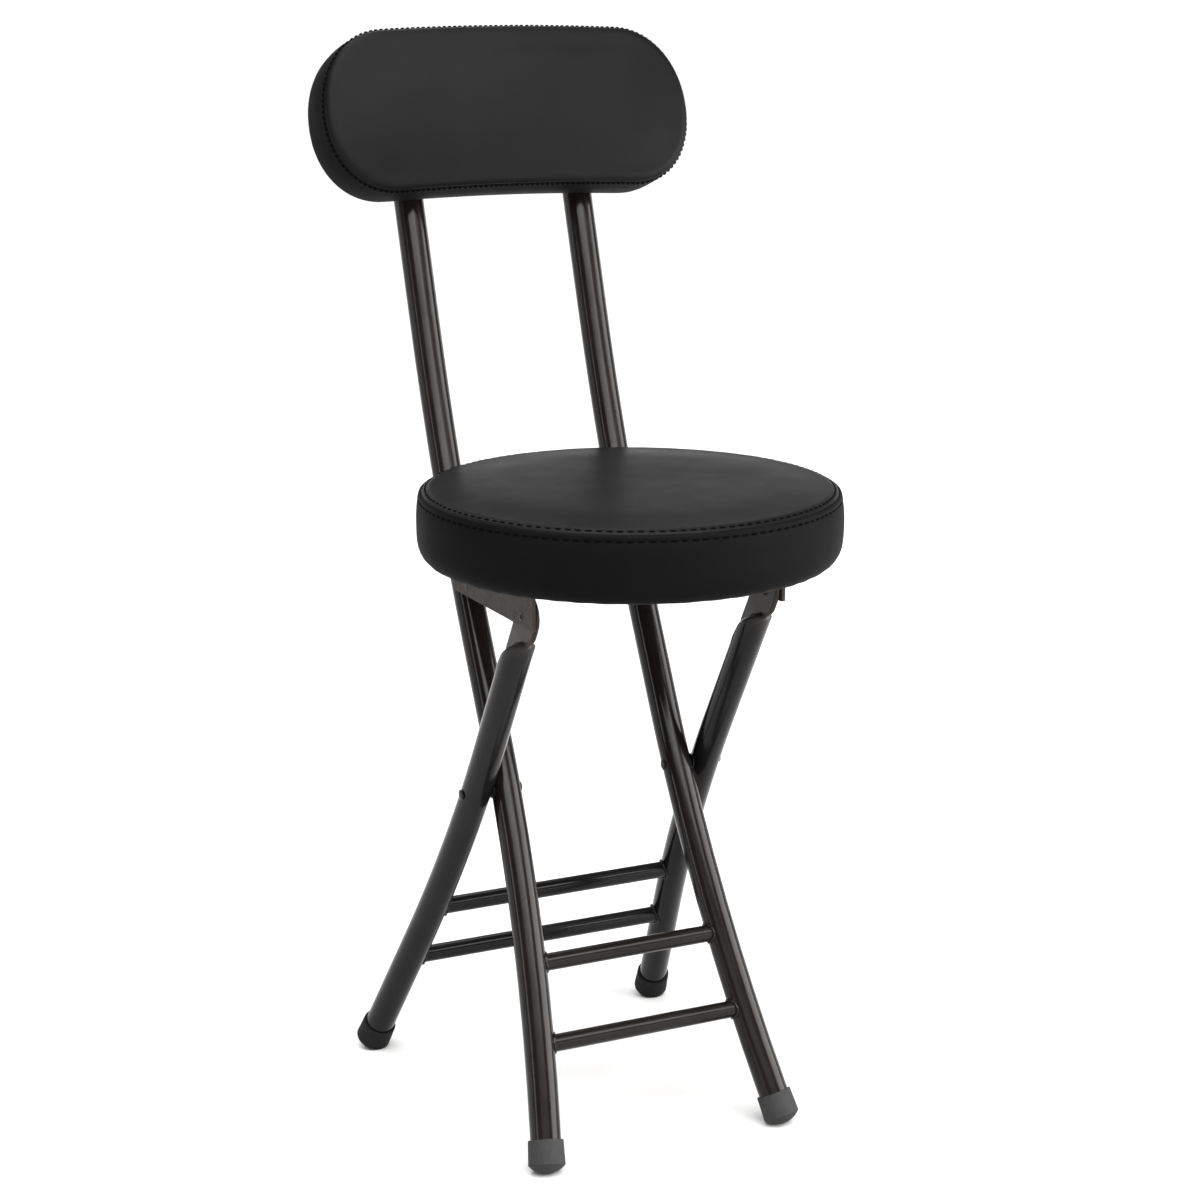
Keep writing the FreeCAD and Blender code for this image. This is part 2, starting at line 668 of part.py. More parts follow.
# ------------------------------------------------------------- seat brackets
for side, sx in (("left", 1), ("right", -1)):
    x0 = S("bracket_in") if sx > 0 else num(0) - S("bracket_in") - S("bracket_t")
    top = S("seat_low")
    corner = S("bracket_corner")
    front, rear, low = S("bracket_front"), S("bracket_rear"), S("bracket_low")
    web = sheet_metal(
        side + "_bracket_web",
        "YZ_Plane",
        [
            (front, low + corner),
            (front + corner, low),
            (rear - corner, low),
            (rear, low + corner),
            (rear, top),
            (front, top),
        ],
        S("bracket_t"),
        {0: (corner, -1), 2: (corner, -1)},
        [
            (num(pivot_y), S("pivot_z"), S("seat_rivet_d") / 2),
            (S("strap_rivet_y"), S("strap_rivet_z"), S("strap_rivet_d") / 2),
            (S("strap_rivet_y"), S("strap_rivet_z") + S("strap_rivet_up"), S("strap_rivet_d") / 2),
        ],
    )
    place(web, (x0, S("seat_centre_y"), num(0)))
    flange = doc.addObject("Part::Box", side + "_bracket_flange")
    flange.Length = (S("flange_wide") + S("bracket_t")).value
    flange.setExpression("Length", (S("flange_wide") + S("bracket_t")).text)
    flange.Width = (rear - front).value
    flange.setExpression("Width", (rear - front).text)
    flange.Height = v("bracket_t")
    flange.setExpression("Height", S("bracket_t").text)
    fx = (
        S("bracket_in") - S("flange_wide")
        if sx > 0
        else num(0) - S("bracket_in") - S("bracket_t")
    )
    place(flange, (fx, S("seat_centre_y") + front, top - S("bracket_t")))
    bent = doc.addObject("Part::MultiFuse", side + "_bracket_bent")
    bent.Shapes = [web, flange]
    drills = []
    for i, at in enumerate((-36.0, 19.0, 74.0)):
        drill = doc.addObject("Part::Cylinder", "%s_bracket_drill_%d" % (side, i))
        drill.Radius = v("screw_d") / 2
        drill.setExpression("Radius", (S("screw_d") / 2).text)
        drill.Height = 20.0
        place(
            drill,
            (
                num(sx) * (S("bracket_in") - S("flange_wide") / 2),
                S("seat_centre_y") + at,
                top - 10.0,
            ),
        )
        drills.append(drill)
    drilled = doc.addObject("Part::MultiFuse", side + "_bracket_drills")
    drilled.Shapes = drills
    bracket = doc.addObject("Part::Cut", side + "_seat_bracket")
    bracket.Base, bracket.Tool = bent, drilled
    node(bracket, side + "_seat_bracket")

    # Screws: pan heads under the flange, shanks up into the seat board.
    screws = []
    for i, at in enumerate((-36.0, 19.0, 74.0)):
        screw = turned(
            "%s_seat_screw_%d" % (side, i),
            [
                (num(0), num(0) - S("screw_head_t")),
                (S("screw_head_d") / 2 - 1.2, num(0) - S("screw_head_t")),
                (S("screw_head_d") / 2, num(0) - S("screw_head_t") / 2),
                (S("screw_head_d") / 2, num(0)),
                (S("screw_d") / 2, num(0)),
                (S("screw_d") / 2, S("screw_deep") - 2.0),
                (num(0), S("screw_deep")),
            ],
        )
        place(
            screw,
            (
                num(sx) * (S("bracket_in") - S("flange_wide") / 2),
                S("seat_centre_y") + at,
                top - S("bracket_t"),
            ),
        )
        screws.append(screw)
    trio = doc.addObject("Part::Compound", side + "_seat_screws")
    trio.Links = screws
    node(trio, side + "_seat_screws")

    # Hook strap: riveted inside the web, its rear end drops over the hook pin.
    slant = math.radians(v("hook_slant"))
    pin_y = hook_at[side].y - CY
    grip = S("rivet_d") / 2 + S("hook_gap")
    down = Vector(-math.sin(slant), -math.cos(slant), 0)
    wide = Vector(math.cos(slant), -math.sin(slant), 0)
    pin_z = v("hook_z")
    lowest = v("strap_hook_low")
    front_y = pin_y - grip.value * wide.x
    front_z = pin_z - grip.value * wide.y
    rear_y = pin_y + grip.value * wide.x
    rear_z = pin_z + grip.value * wide.y
    fall_f = (lowest - front_z) / down.y
    fall_r = (lowest - rear_z) / down.y
    strap = sheet_metal(
        side + "_hook_strap",
        "YZ_Plane",
        [
            (S("strap_front"), S("strap_low")),
            (S("bracket_rear") + 4.0, S("strap_low")),
            (S("bracket_rear") + 26.0, S("strap_hook_low")),
            (num(front_y + down.x * fall_f - 2.5), S("strap_hook_low")),
            (num(front_y + down.x * fall_f * 0.45), num(front_z + down.y * fall_f * 0.45)),
            (num(front_y), num(front_z)),
            (num(rear_y), num(rear_z)),
            (num(rear_y + down.x * fall_r), S("strap_hook_low")),
            (S("strap_rear") - 5.0, S("strap_hook_low")),
            (S("strap_rear"), S("strap_hook_low") + 5.0),
            (S("strap_rear"), S("strap_high") - 6.0),
            (S("strap_rear") - 6.0, S("strap_high")),
            (S("strap_front"), S("strap_high")),
        ],
        S("bracket_t"),
        {5: (grip * 1.0001, 1), 8: (num(5.0), -1), 10: (num(6.0), -1)},
        [
            (S("strap_rivet_y"), S("strap_rivet_z"), S("strap_rivet_d") / 2),
            (S("strap_rivet_y"), S("strap_rivet_z") + S("strap_rivet_up"), S("strap_rivet_d") / 2),
        ],
    )
    sx0 = (
        S("bracket_in") - S("bracket_t")
        if sx > 0
        else num(0) - S("bracket_in")
    )
    place(strap, (sx0, S("seat_centre_y"), num(0)))
    node(strap, side + "_hook_strap")

    turn = TO_X if sx > 0 else TO_MINUS_X
    pair = []
    for i in (0, 1):
        small = S("strap_rivet_d") / 2
        begin = S("bracket_in") - S("bracket_t")
        stop = S("bracket_in") + S("bracket_t")
        rivet = turned(
            "%s_strap_rivet_%d" % (side, i),
            [
                (num(0), begin - 1.6),
                (small + 0.8, begin - 1.6),
                (small + 2.0, begin),
                (small, begin),
                (small, stop + 0.15),
                (small - 0.35, stop + 0.3),
                (num(0), stop + 0.3),
            ],
        )
        place(
            rivet,
            (
                num(0),
                S("seat_centre_y") + S("strap_rivet_y"),
                S("strap_rivet_z") + S("strap_rivet_up") * i,
            ),
            turn,
        )
        pair.append(rivet)
    both = doc.addObject("Part::Compound", side + "_strap_rivets")
    both.Links = pair
    node(both, side + "_strap_rivets")

# ---------------------------------------------------------------------- seat
cover = S("cover_t")
low = S("seat_low")
hem_top = low + cover
edge_r = S("seat_rad") - S("band_edge")
in_r = S("seat_rad") - cover
in_seam_r = S("seam_rad") - cover
in_seam_z = S("seam_z") - cover
board_top = hem_top + S("board_t")
crown = (S("seam_rad") * S("seam_rad")) / ((S("seat_high") - S("seam_z")) * 2) + (
    S("seat_high") - S("seam_z")
) / 2
crown_in = (in_seam_r * in_seam_r) / ((S("seat_high") - cover - in_seam_z) * 2) + (
    S("seat_high") - cover - in_seam_z
) / 2
seat_axis = (num(0), S("seat_centre_y"), num(0))

dust = turned(
    "seat_dust_cover",
    [
        (num(0), low),
        (S("band_hem"), low),
        (S("band_hem"), hem_top),
        (num(0), hem_top),
    ],
)
place(dust, seat_axis)
dust_holes = []
board_holes = []
for side, sx in (("left", 1), ("right", -1)):
    for i, at in enumerate((-36.0, 19.0, 74.0)):
        drill = doc.addObject("Part::Cylinder", "seat_%s_drill_%d" % (side, i))
        drill.Radius = v("screw_d") / 2
        drill.setExpression("Radius", (S("screw_d") / 2).text)
        drill.Height = (S("screw_deep") - S("bracket_t") + 5.0).value
        drill.setExpression("Height", (S("screw_deep") - S("bracket_t") + 5.0).text)
        place(
            drill,
            (
                num(sx) * (S("bracket_in") - S("flange_wide") / 2),
                S("seat_centre_y") + at,
                low - 5.0,
            ),
        )
        dust_holes.append(drill)
drills = doc.addObject("Part::MultiFuse", "seat_drills")
drills.Shapes = dust_holes
dust_cut = doc.addObject("Part::Cut", "seat_dust_sheet")
dust_cut.Base, dust_cut.Tool = dust, drills
node(dust_cut, "seat_dust_cover")

board = turned(
    "seat_board_blank",
    [
        (num(0), hem_top),
        (S("board_rad"), hem_top),
        (S("board_rad"), board_top),
        (num(0), board_top),
    ],
)
place(board, seat_axis)
board_cut = doc.addObject("Part::Cut", "seat_board_drilled")
board_cut.Base, board_cut.Tool = board, drills
node(board_cut, "seat_board")

foam = turned(
    "seat_foam",
    [
        (num(0), board_top),
        (S("board_rad"), board_top),
        (S("board_rad"), hem_top),
        (S("band_edge"), hem_top),
        (in_r, low + edge_r),
        (in_r, S("band_high")),
        (in_seam_r, in_seam_z),
        (num(0), S("seat_high") - cover),
    ],
    {3: (edge_r - cover, -1), 6: (crown_in, -1)},
)
place(foam, seat_axis)
node(foam, "seat_foam")

band = turned(
    "seat_band",
    [
        (S("band_hem"), low),
        (S("band_edge"), low),
        (S("seat_rad"), low + edge_r),
        (S("seat_rad"), S("band_high")),
        (S("seam_rad"), S("seam_z")),
        (in_seam_r, in_seam_z),
        (in_r, S("band_high")),
        (in_r, low + edge_r),
        (S("band_edge"), hem_top),
        (S("band_hem"), hem_top),
    ],
    {1: (edge_r, -1), 7: (edge_r - cover, 1)},
)
place(band, seat_axis)
node(band, "seat_band")

panel = turned(
    "seat_top_panel",
    [
        (num(0), S("seat_high") - cover),
        (in_seam_r, in_seam_z),
        (S("seam_rad"), S("seam_z")),
        (num(0), S("seat_high")),
    ],
    {0: (crown_in, 1), 2: (crown, -1)},
)
place(panel, seat_axis)
node(panel, "seat_top_panel")


# ------------------------------------------------------------------ backrest
def stadium(inset):
    """Corners and arcs of the backrest's outline, drawn in by inset."""
    half = S("back_wide") / 2
    r = S("back_tall") / 2
    flat = half - r
    lower = S("back_low") + inset
    upper = S("back_low") + S("back_tall") - inset
    middle = S("back_low") + r
    return [
        (num(0) - flat, lower),
        (flat, lower),
        (half - inset, middle),
        (flat, upper),
        (num(0) - flat, upper),
        (num(0) - half + inset, middle),
    ], {
        1: (r - inset, -1),
        2: (r - inset, -1),
        4: (r - inset, -1),
        5: (r - inset, -1),
    }


def back_piece(name, near, thick, inset, holes=()):
    corners, arcs = stadium(inset)
    body = sheet_metal(name, "XY_Plane", corners, thick, arcs, holes)
    spot = BACK_DATUM + back_front * near.value
    body.Placement = Placement(spot, BACK)
    return body


skin_t = S("back_cover_t")
near = S("back_near")
bolt_spots = [
    (num(sx) * S("upright_gap"), S(level))
    for sx in (1, -1)
    for level in ("bolt_low", "bolt_high")
]
back_rear = back_piece(
    "backrest_rear_panel", near, skin_t, skin_t,
    [(x, y, S("nut_d") / 2) for x, y in bolt_spots],
)
node(back_rear, "backrest_rear_panel")

board_near = near + skin_t
back_board = back_piece(
    "backrest_board_blank", board_near, S("back_board_t"), skin_t,
    [(x, y, S("nut_d") / 2) for x, y in bolt_spots],
)
recesses = []
for i, (x, y) in enumerate(bolt_spots):
    dish = doc.addObject("Part::Cylinder", "backrest_recess_%d" % i)
    dish.Radius = v("nut_flange_d") / 2
    dish.setExpression("Radius", (S("nut_flange_d") / 2).text)
    dish.Height = v("nut_flange_t") + 3
    dish.setExpression("Height", (S("nut_flange_t") + 3).text)
    depth = board_near + S("back_board_t") - S("nut_flange_t")
    spot = BACK_DATUM + Vector(x.value, 0, 0) + back_up * y.value + back_front * depth.value
    dish.Placement = Placement(spot, BACK)
    recesses.append(dish)
dishes = doc.addObject("Part::MultiFuse", "backrest_recesses")
dishes.Shapes = recesses
board_done = doc.addObject("Part::Cut", "backrest_board_cut")
board_done.Base, board_done.Tool = back_board, dishes
node(board_done, "backrest_board")

foam_near = board_near + S("back_board_t")
foam_deep = S("back_deep") - S("back_board_t") - skin_t * 2
node(back_piece("backrest_foam", foam_near, foam_deep, skin_t), "backrest_foam")
node(
    back_piece("backrest_front_panel", foam_near + foam_deep, skin_t, skin_t),
    "backrest_front_panel",
)

# Band: the cover strip round the edge, as wide as the pad is thick.
outer_body = back_piece("backrest_band_outer", near, S("back_deep"), num(0))
inner_body = back_piece("backrest_band_inner", near, S("back_deep"), skin_t)
back_band = doc.addObject("Part::Cut", "backrest_band_ring")
back_band.Base, back_band.Tool = outer_body, inner_body
node(back_band, "backrest_band")

bolts = []
nuts = []
for i, (x, y) in enumerate(bolt_spots):
    flat_at = num(0) - S("tube_od") / 2 - 0.1
    r = S("bolt_d") / 2
    tip = board_near + S("back_board_t") - 0.6
    bolt = turned(
        "backrest_bolt_%d" % i,
        [
            (num(0), flat_at - S("bolt_head_t")),
            (S("bolt_head_d") / 4, flat_at - S("bolt_head_t")),
            (S("bolt_head_d") / 2, flat_at - 0.8),
            (S("bolt_head_d") / 2, flat_at),
            (r, flat_at),
            (r, tip),
            (num(0), tip),
        ],
    )
    spot = BACK_DATUM + Vector(x.value, 0, 0) + back_up * y.value
    bolt.Placement = Placement(spot, BACK)
    bolts.append(bolt)
    nut = turned(
        "backrest_nut_%d" % i,
        [
            (r, near),
            (S("nut_d") / 2, near),
            (S("nut_d") / 2, foam_near - S("nut_flange_t")),
            (S("nut_flange_d") / 2, foam_near - S("nut_flange_t")),
            (S("nut_flange_d") / 2, foam_near),
            (r, foam_near),
        ],
    )
    nut.Placement = Placement(spot, BACK)
    nuts.append(nut)
set_of = doc.addObject("Part::Compound", "backrest_bolt_set")
set_of.Links = bolts
node(set_of, "backrest_bolts")
set_of = doc.addObject("Part::Compound", "backrest_nut_set")
set_of.Links = nuts
node(set_of, "backrest_tee_nuts")

# ------------------------------------------------------- recompute and write
doc.recompute()
for obj in doc.Objects:
    if "Invalid" in obj.State or "Error" in obj.State:
        raise RuntimeError("%s is %s" % (obj.Label, obj.State))
os.makedirs("parts", exist_ok=True)
low_corner = Vector(1e9, 1e9, 1e9)
high_corner = Vector(-1e9, -1e9, -1e9)
for label, obj in NODES:
    shape = obj.Shape
    if shape.isNull() or not shape.isValid() or shape.Volume <= 0:
        raise RuntimeError("%s has no valid solid" % label)
    box = shape.BoundBox
    low_corner = Vector(min(low_corner.x, box.XMin), min(low_corner.y, box.YMin), min(low_corner.z, box.ZMin))
    high_corner = Vector(max(high_corner.x, box.XMax), max(high_corner.y, box.YMax), max(high_corner.z, box.ZMax))
for label, obj in NODES:
    obj.Shape.exportStep("parts/%s.step" % label)
    print("%-24s %2d solids %10.1f mm3" % (label, len(obj.Shape.Solids), obj.Shape.Volume))
print("outline", low_corner, high_corner)
print("cross rivet at y %.3f z %.3f" % (CY + cross_y, cross_z))
print("seat pivot at y %.3f z %.3f" % (CY + pivot_y, v("pivot_z")))
print("cross x", [round(cross_at[s].x, 3) for s in cross_at], [round(leg_cross_x[s], 3) for s in leg_cross_x])
print("hook", hook_at["left"])
for s in ("left", "right"):
    print("soles", s, upright_end[s][0], leg_end[s][0])
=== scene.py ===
import math

import bmesh
import bpy
import numpy as np
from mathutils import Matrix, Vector, noise
from mathutils.bvhtree import BVHTree
from mathutils.kdtree import KDTree


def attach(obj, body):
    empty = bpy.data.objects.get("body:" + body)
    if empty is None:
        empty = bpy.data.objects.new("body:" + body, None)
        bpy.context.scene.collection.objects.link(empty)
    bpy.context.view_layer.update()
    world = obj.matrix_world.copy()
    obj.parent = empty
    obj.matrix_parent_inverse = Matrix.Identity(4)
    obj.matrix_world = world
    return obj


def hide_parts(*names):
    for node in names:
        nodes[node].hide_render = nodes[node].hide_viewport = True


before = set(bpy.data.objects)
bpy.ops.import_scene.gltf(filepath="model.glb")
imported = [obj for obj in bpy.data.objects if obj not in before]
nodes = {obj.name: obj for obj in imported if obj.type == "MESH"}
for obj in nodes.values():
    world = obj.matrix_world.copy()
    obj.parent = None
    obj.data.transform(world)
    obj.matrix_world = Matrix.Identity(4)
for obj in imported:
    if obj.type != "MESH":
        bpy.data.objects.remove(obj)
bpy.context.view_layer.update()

MM = 0.001
scene = bpy.context.scene

# ---------------------------------------------------------------- camera
cam_data = bpy.data.cameras.new("view")
cam = bpy.data.objects.new("view", cam_data)
scene.collection.objects.link(cam)
cam.location = (-0.834645, -1.732011, 0.863576)
aim = Vector((-0.023307, -0.06118, 0.397289))
cam.rotation_mode = "QUATERNION"
cam.rotation_quaternion = (aim - cam.location).to_track_quat("-Z", "Y")
cam_data.sensor_width = 36.0
cam_data.sensor_fit = "HORIZONTAL"
cam_data.lens = 81.63
cam_data.clip_start, cam_data.clip_end = 0.05, 200.0
scene.camera = cam


# ---------------------------------------------------------------- materials
class Mat:
    """A small builder for one node material in object coordinates (metres)."""

    def __init__(self, name):
        self.m = bpy.data.materials.new(name)
        self.m.use_nodes = True
        self.t = self.m.node_tree
        self.t.nodes.clear()
        self.out = self.t.nodes.new("ShaderNodeOutputMaterial")
        self.b = self.t.nodes.new("ShaderNodeBsdfPrincipled")
        self.t.links.new(self.b.outputs[0], self.out.inputs[0])
        self.co = self.t.nodes.new("ShaderNodeTexCoord").outputs["Object"]

    def set(self, **kw):
        for k, val in kw.items():
            self.b.inputs[k.replace("_", " ")].default_value = val
        return self

    def link(self, a, b):
        self.t.links.new(a, b)

    def scaled(self, sx, sy, sz):
        n = self.t.nodes.new("ShaderNodeMapping")
        n.inputs["Scale"].default_value = (sx, sy, sz)
        self.link(self.co, n.inputs["Vector"])
        return n.outputs[0]

    def noise(self, scale, detail=3.0, rough=0.55, vec=None):
        n = self.t.nodes.new("ShaderNodeTexNoise")
        n.inputs["Scale"].default_value = scale
        n.inputs["Detail"].default_value = detail
        n.inputs["Roughness"].default_value = rough
        self.link(vec or self.co, n.inputs["Vector"])
        return n.outputs["Fac"]

    def voronoi(self, scale, feature="DISTANCE_TO_EDGE", vec=None, rand=1.0):
        n = self.t.nodes.new("ShaderNodeTexVoronoi")
        n.feature = feature
        n.inputs["Scale"].default_value = scale
        n.inputs["Randomness"].default_value = rand
        self.link(vec or self.co, n.inputs["Vector"])
        return n.outputs["Distance"]

    def wave(self, scale, distortion, vec=None, direction="X", profile="SIN", detail=2.0):
        n = self.t.nodes.new("ShaderNodeTexWave")
        n.wave_profile = profile
        n.bands_direction = direction
        n.inputs["Scale"].default_value = scale
        n.inputs["Distortion"].default_value = distortion
        n.inputs["Detail"].default_value = detail
        self.link(vec or self.co, n.inputs["Vector"])
        return n.outputs["Fac"]

    def remap(self, value, low, high, to_low, to_high):
        n = self.t.nodes.new("ShaderNodeMapRange")
        n.inputs["From Min"].default_value = low
        n.inputs["From Max"].default_value = high
        n.inputs["To Min"].default_value = to_low
        n.inputs["To Max"].default_value = to_high
        self.link(value, n.inputs["Value"])
        return n.outputs[0]

    def math(self, op, a, b):
        n = self.t.nodes.new("ShaderNodeMath")
        n.operation = op
        for i, x in enumerate((a, b)):
            if isinstance(x, (int, float)):
                n.inputs[i].default_value = x
            else:
                self.link(x, n.inputs[i])
        return n.outputs[0]

    def colours(self, value, *stops):
        n = self.t.nodes.new("ShaderNodeValToRGB")
        e = n.color_ramp.elements
        while len(e) < len(stops):
            e.new(0.5)
        for el, (pos, rgb) in zip(e, stops):
            el.position = pos
            el.color = (*rgb, 1.0)
        self.link(value, n.inputs[0])
        self.link(n.outputs[0], self.b.inputs["Base Color"])
        return n

    def rough(self, value):
        self.link(value, self.b.inputs["Roughness"])

    def bump(self, height, strength, distance, under=None):
        n = self.t.nodes.new("ShaderNodeBump")
        n.inputs["Strength"].default_value = strength
        n.inputs["Distance"].default_value = distance
        self.link(height, n.inputs["Height"])
        if under is not None:
            self.link(under, n.inputs["Normal"])
        self.link(n.outputs[0], self.b.inputs["Normal"])
        return n.outputs[0]


def paint(name, dark, light, r_low, r_high, spec, peel):
    """Sprayed enamel over steel tube: faint tone drift, fine orange peel."""
    m = Mat(name)
    m.colours(m.noise(38.0, 4.0), (0.3, dark), (0.72, light))
    drift = m.noise(55.0, 5.0, 0.6)
    m.rough(m.remap(drift, 0.3, 0.7, r_low, r_high))
    first = m.bump(m.noise(420.0, 2.0, 0.5), peel, 0.0004)
    m.bump(m.noise(1900.0, 1.0, 0.4), peel * 0.6, 0.00012, first)
    m.set(IOR=1.5, Specular_IOR_Level=spec)
    return m.m


def pressed_paint(name, dark, light, blade_lit_dark, blade_lit_light, r_low, r_high, spec, peel, pivot):
    """The rear legs' enamel. Round the pivot, where the tube end is pressed flat, it is duller, and lighter and browner
    as painted light: the tone its flat face shows in the light.
    """
    m = Mat(name)
    sep = m.t.nodes.new("ShaderNodeSeparateXYZ")
    m.link(m.co, sep.inputs[0])
    dy = m.math("SUBTRACT", sep.outputs["Y"], pivot[0])
    dz = m.math("SUBTRACT", sep.outputs["Z"], pivot[1])
    away = m.math("SQRT", m.math("ADD", m.math("MULTIPLY", dy, dy), m.math("MULTIPLY", dz, dz)), 0.0)
    # near marks the pressed end: it makes the enamel duller there and carries the painted light tone below
    near = m.remap(away, 0.020, 0.034, 1.0, 0.0)
    tone = m.noise(38.0, 4.0)
    tube = m.colours(tone, (0.3, dark), (0.72, light))
    # painted light: the flat end gets the lighter, browner tone a flat face shows in the light
    lit_blade_tone = m.colours(m.noise(60.0, 5.0, 0.62), (0.28, blade_lit_dark), (0.75, blade_lit_light))
    mix = m.t.nodes.new("ShaderNodeMix")
    mix.data_type = "RGBA"
    m.link(near, mix.inputs[0])
    m.link(tube.outputs[0], mix.inputs[6])
    m.link(lit_blade_tone.outputs[0], mix.inputs[7])
    m.link(mix.outputs[2], m.b.inputs["Base Color"])
    drift = m.remap(m.noise(55.0, 5.0, 0.6), 0.3, 0.7, r_low, r_high)
    m.rough(m.math("ADD", drift, m.math("MULTIPLY", near, 0.26)))
    first = m.bump(m.noise(420.0, 2.0, 0.5), peel, 0.0004)
    m.bump(m.noise(1900.0, 1.0, 0.4), peel * 0.6, 0.00012, first)
    m.set(IOR=1.5, Specular_IOR_Level=spec)
    return m.m


front_paint = paint("front_frame_enamel", (0.0048, 0.0038, 0.0034), (0.0072, 0.0060, 0.0055), 0.15, 0.20, 0.16, 0.010)
# The rear frame's enamel is the front frame's enamel made darker: painted shade.
shaded_rear_paint = paint("rear_frame_enamel_painted_shade", (0.0036, 0.0033, 0.0034), (0.0054, 0.0050, 0.0052), 0.14, 0.18, 0.15, 0.010)
# The rear legs' tube enamel is made darker than the front's as painted shade; its pressed ends carry painted light.
leg_paint_painted_shade_and_light = pressed_paint(
    "rear_leg_enamel_painted_shade_and_light", (0.0034, 0.0031, 0.0032), (0.0052, 0.0048, 0.0050),
    (0.0135, 0.0105, 0.0086), (0.0190, 0.0150, 0.0124), 0.13, 0.17, 0.13, 0.010, (-0.09252, 0.401),
)
# The rivets, washers, pin and bolts get the enamel made darker than the frame's: painted shade, the dark of a rivet's
# dish.
shaded_rivet_paint = paint("rivet_enamel_painted_shade", (0.0030, 0.0027, 0.0025), (0.0048, 0.0044, 0.0042), 0.30, 0.42, 0.12, 0.03)


def bracket_coat():
    """Flat brownish-grey powder coat with a fine sandy tooth."""
    m = Mat("bracket_powder_coat")
    m.colours(m.noise(60.0, 5.0, 0.62), (0.28, (0.0168, 0.0122, 0.0093)), (0.75, (0.0230, 0.0171, 0.0134)))
    m.rough(m.remap(m.noise(240.0, 3.0), 0.3, 0.7, 0.50, 0.64))
    first = m.bump(m.noise(1500.0, 3.0, 0.6), 0.16, 0.0002)
    m.bump(m.noise(260.0, 2.0), 0.05, 0.0004, first)
    m.set(IOR=1.45, Specular_IOR_Level=0.20)
    return m.m


def rubber(name, tone, spec):
    """Moulded grey rubber: dull, slightly dusty, with fine mould texture."""
    m = Mat(name)
    grey = [tuple(tone * c for c in rgb) for rgb in ((0.0165, 0.0160, 0.0162), (0.0225, 0.0220, 0.0222), (0.0285, 0.0280, 0.0277))]
    m.colours(m.noise(70.0, 6.0, 0.65), (0.25, grey[0]), (0.55, grey[1]), (0.85, grey[2]))
    m.rough(m.remap(m.noise(310.0, 3.0), 0.3, 0.7, 0.62, 0.80))
    first = m.bump(m.noise(1700.0, 3.0, 0.6), 0.20, 0.00025)
    m.bump(m.noise(150.0, 2.0), 0.06, 0.0006, first)
    m.set(IOR=1.45, Specular_IOR_Level=spec)
    return m.m


def plastic():
    """Injection-moulded black plastic, lightly textured."""
    m = Mat("plug_plastic")
    m.colours(m.noise(90.0, 4.0), (0.3, (0.011, 0.011, 0.0115)), (0.7, (0.018, 0.018, 0.0185)))
    m.rough(m.remap(m.noise(400.0, 3.0), 0.3, 0.7, 0.42, 0.55))
    m.bump(m.voronoi(1500.0, "SMOOTH_F1"), 0.12, 0.0002)
    return m.m


def leather(name, dark, light, r_low, r_high, spec, grain=0.10):
    """Black coated leather: pebble grain about a millimetre across, pores, tone drift."""
    m = Mat(name)
    drift = m.noise(16.0, 5.0, 0.6)
    m.colours(drift, (0.30, dark), (0.70, light))
    pebble = m.voronoi(950.0, "DISTANCE_TO_EDGE")
    grain_h = m.remap(pebble, 0.0, 0.16, 0.0, 1.0)
    fold = m.noise(260.0, 4.0, 0.62)
    m.rough(m.remap(m.noise(42.0, 5.0, 0.6), 0.3, 0.7, r_low, r_high))
    first = m.bump(grain_h, grain, 0.00022)
    m.bump(fold, grain * 0.55, 0.0006, first)
    m.set(IOR=1.48, Specular_IOR_Level=spec)
    return m.m


seat_leather = leather("seat_leather", (0.0037, 0.0037, 0.0038), (0.0046, 0.0046, 0.0047), 0.38, 0.43, 0.059)
back_leather = leather("backrest_leather", (0.0036, 0.0036, 0.0037), (0.0044, 0.0044, 0.0045), 0.36, 0.41, 0.055)


# The bands are the top leather made darker, as painted shade, and rougher with less sheen as a duller panel.
shaded_band_leather = leather("shaded_band_leather", (0.0022, 0.0022, 0.0023), (0.0029, 0.0029, 0.0030), 0.56, 0.62, 0.026)


def shaded_thread_mat():
    # The thread is made near-black with almost no sheen, as painted shade of the stitch holes it lies in.
    m = Mat("stitch_thread_painted_shade")
    m.colours(m.noise(900.0, 3.0), (0.3, (0.0006, 0.0006, 0.0006)), (0.7, (0.0014, 0.0014, 0.0014)))
    m.rough(m.remap(m.noise(700.0, 2.0), 0.3, 0.7, 0.85, 0.95))
    m.bump(m.wave(2600.0, 1.5, direction="DIAGONAL"), 0.35, 0.0002)
    m.set(Specular_IOR_Level=0.02)
    return m.m


def cloth_mat():
    """Non-woven backing cloth with its embossed bonding dots."""
    m = Mat("dust_cloth")
    m.colours(m.noise(140.0, 5.0, 0.65), (0.3, (0.011, 0.011, 0.012)), (0.7, (0.024, 0.024, 0.025)))
    m.rough(m.remap(m.noise(500.0, 3.0), 0.3, 0.7, 0.82, 0.95))
    dots = m.voronoi(620.0, "F1", rand=0.0)
    first = m.bump(m.remap(dots, 0.15, 0.45, 0.0, 1.0), 0.35, 0.0003)
    m.bump(m.noise(1300.0, 4.0, 0.7), 0.25, 0.0003, first)
    m.set(Sheen_Weight=0.15, Sheen_Roughness=0.6)
    return m.m


def plywood():
    m = Mat("board_plywood")
    grain = m.wave(34.0, 9.0, vec=m.scaled(1.0, 0.16, 1.0), detail=4.0)
    m.colours(grain, (0.15, (0.42, 0.27, 0.14)), (0.6, (0.55, 0.38, 0.22)), (0.95, (0.33, 0.20, 0.10)))
    m.rough(m.remap(m.noise(120.0, 4.0), 0.3, 0.7, 0.55, 0.72))
    m.bump(m.noise(600.0, 4.0, 0.6, vec=m.scaled(1.0, 0.08, 1.0)), 0.2, 0.0004)
    return m.m


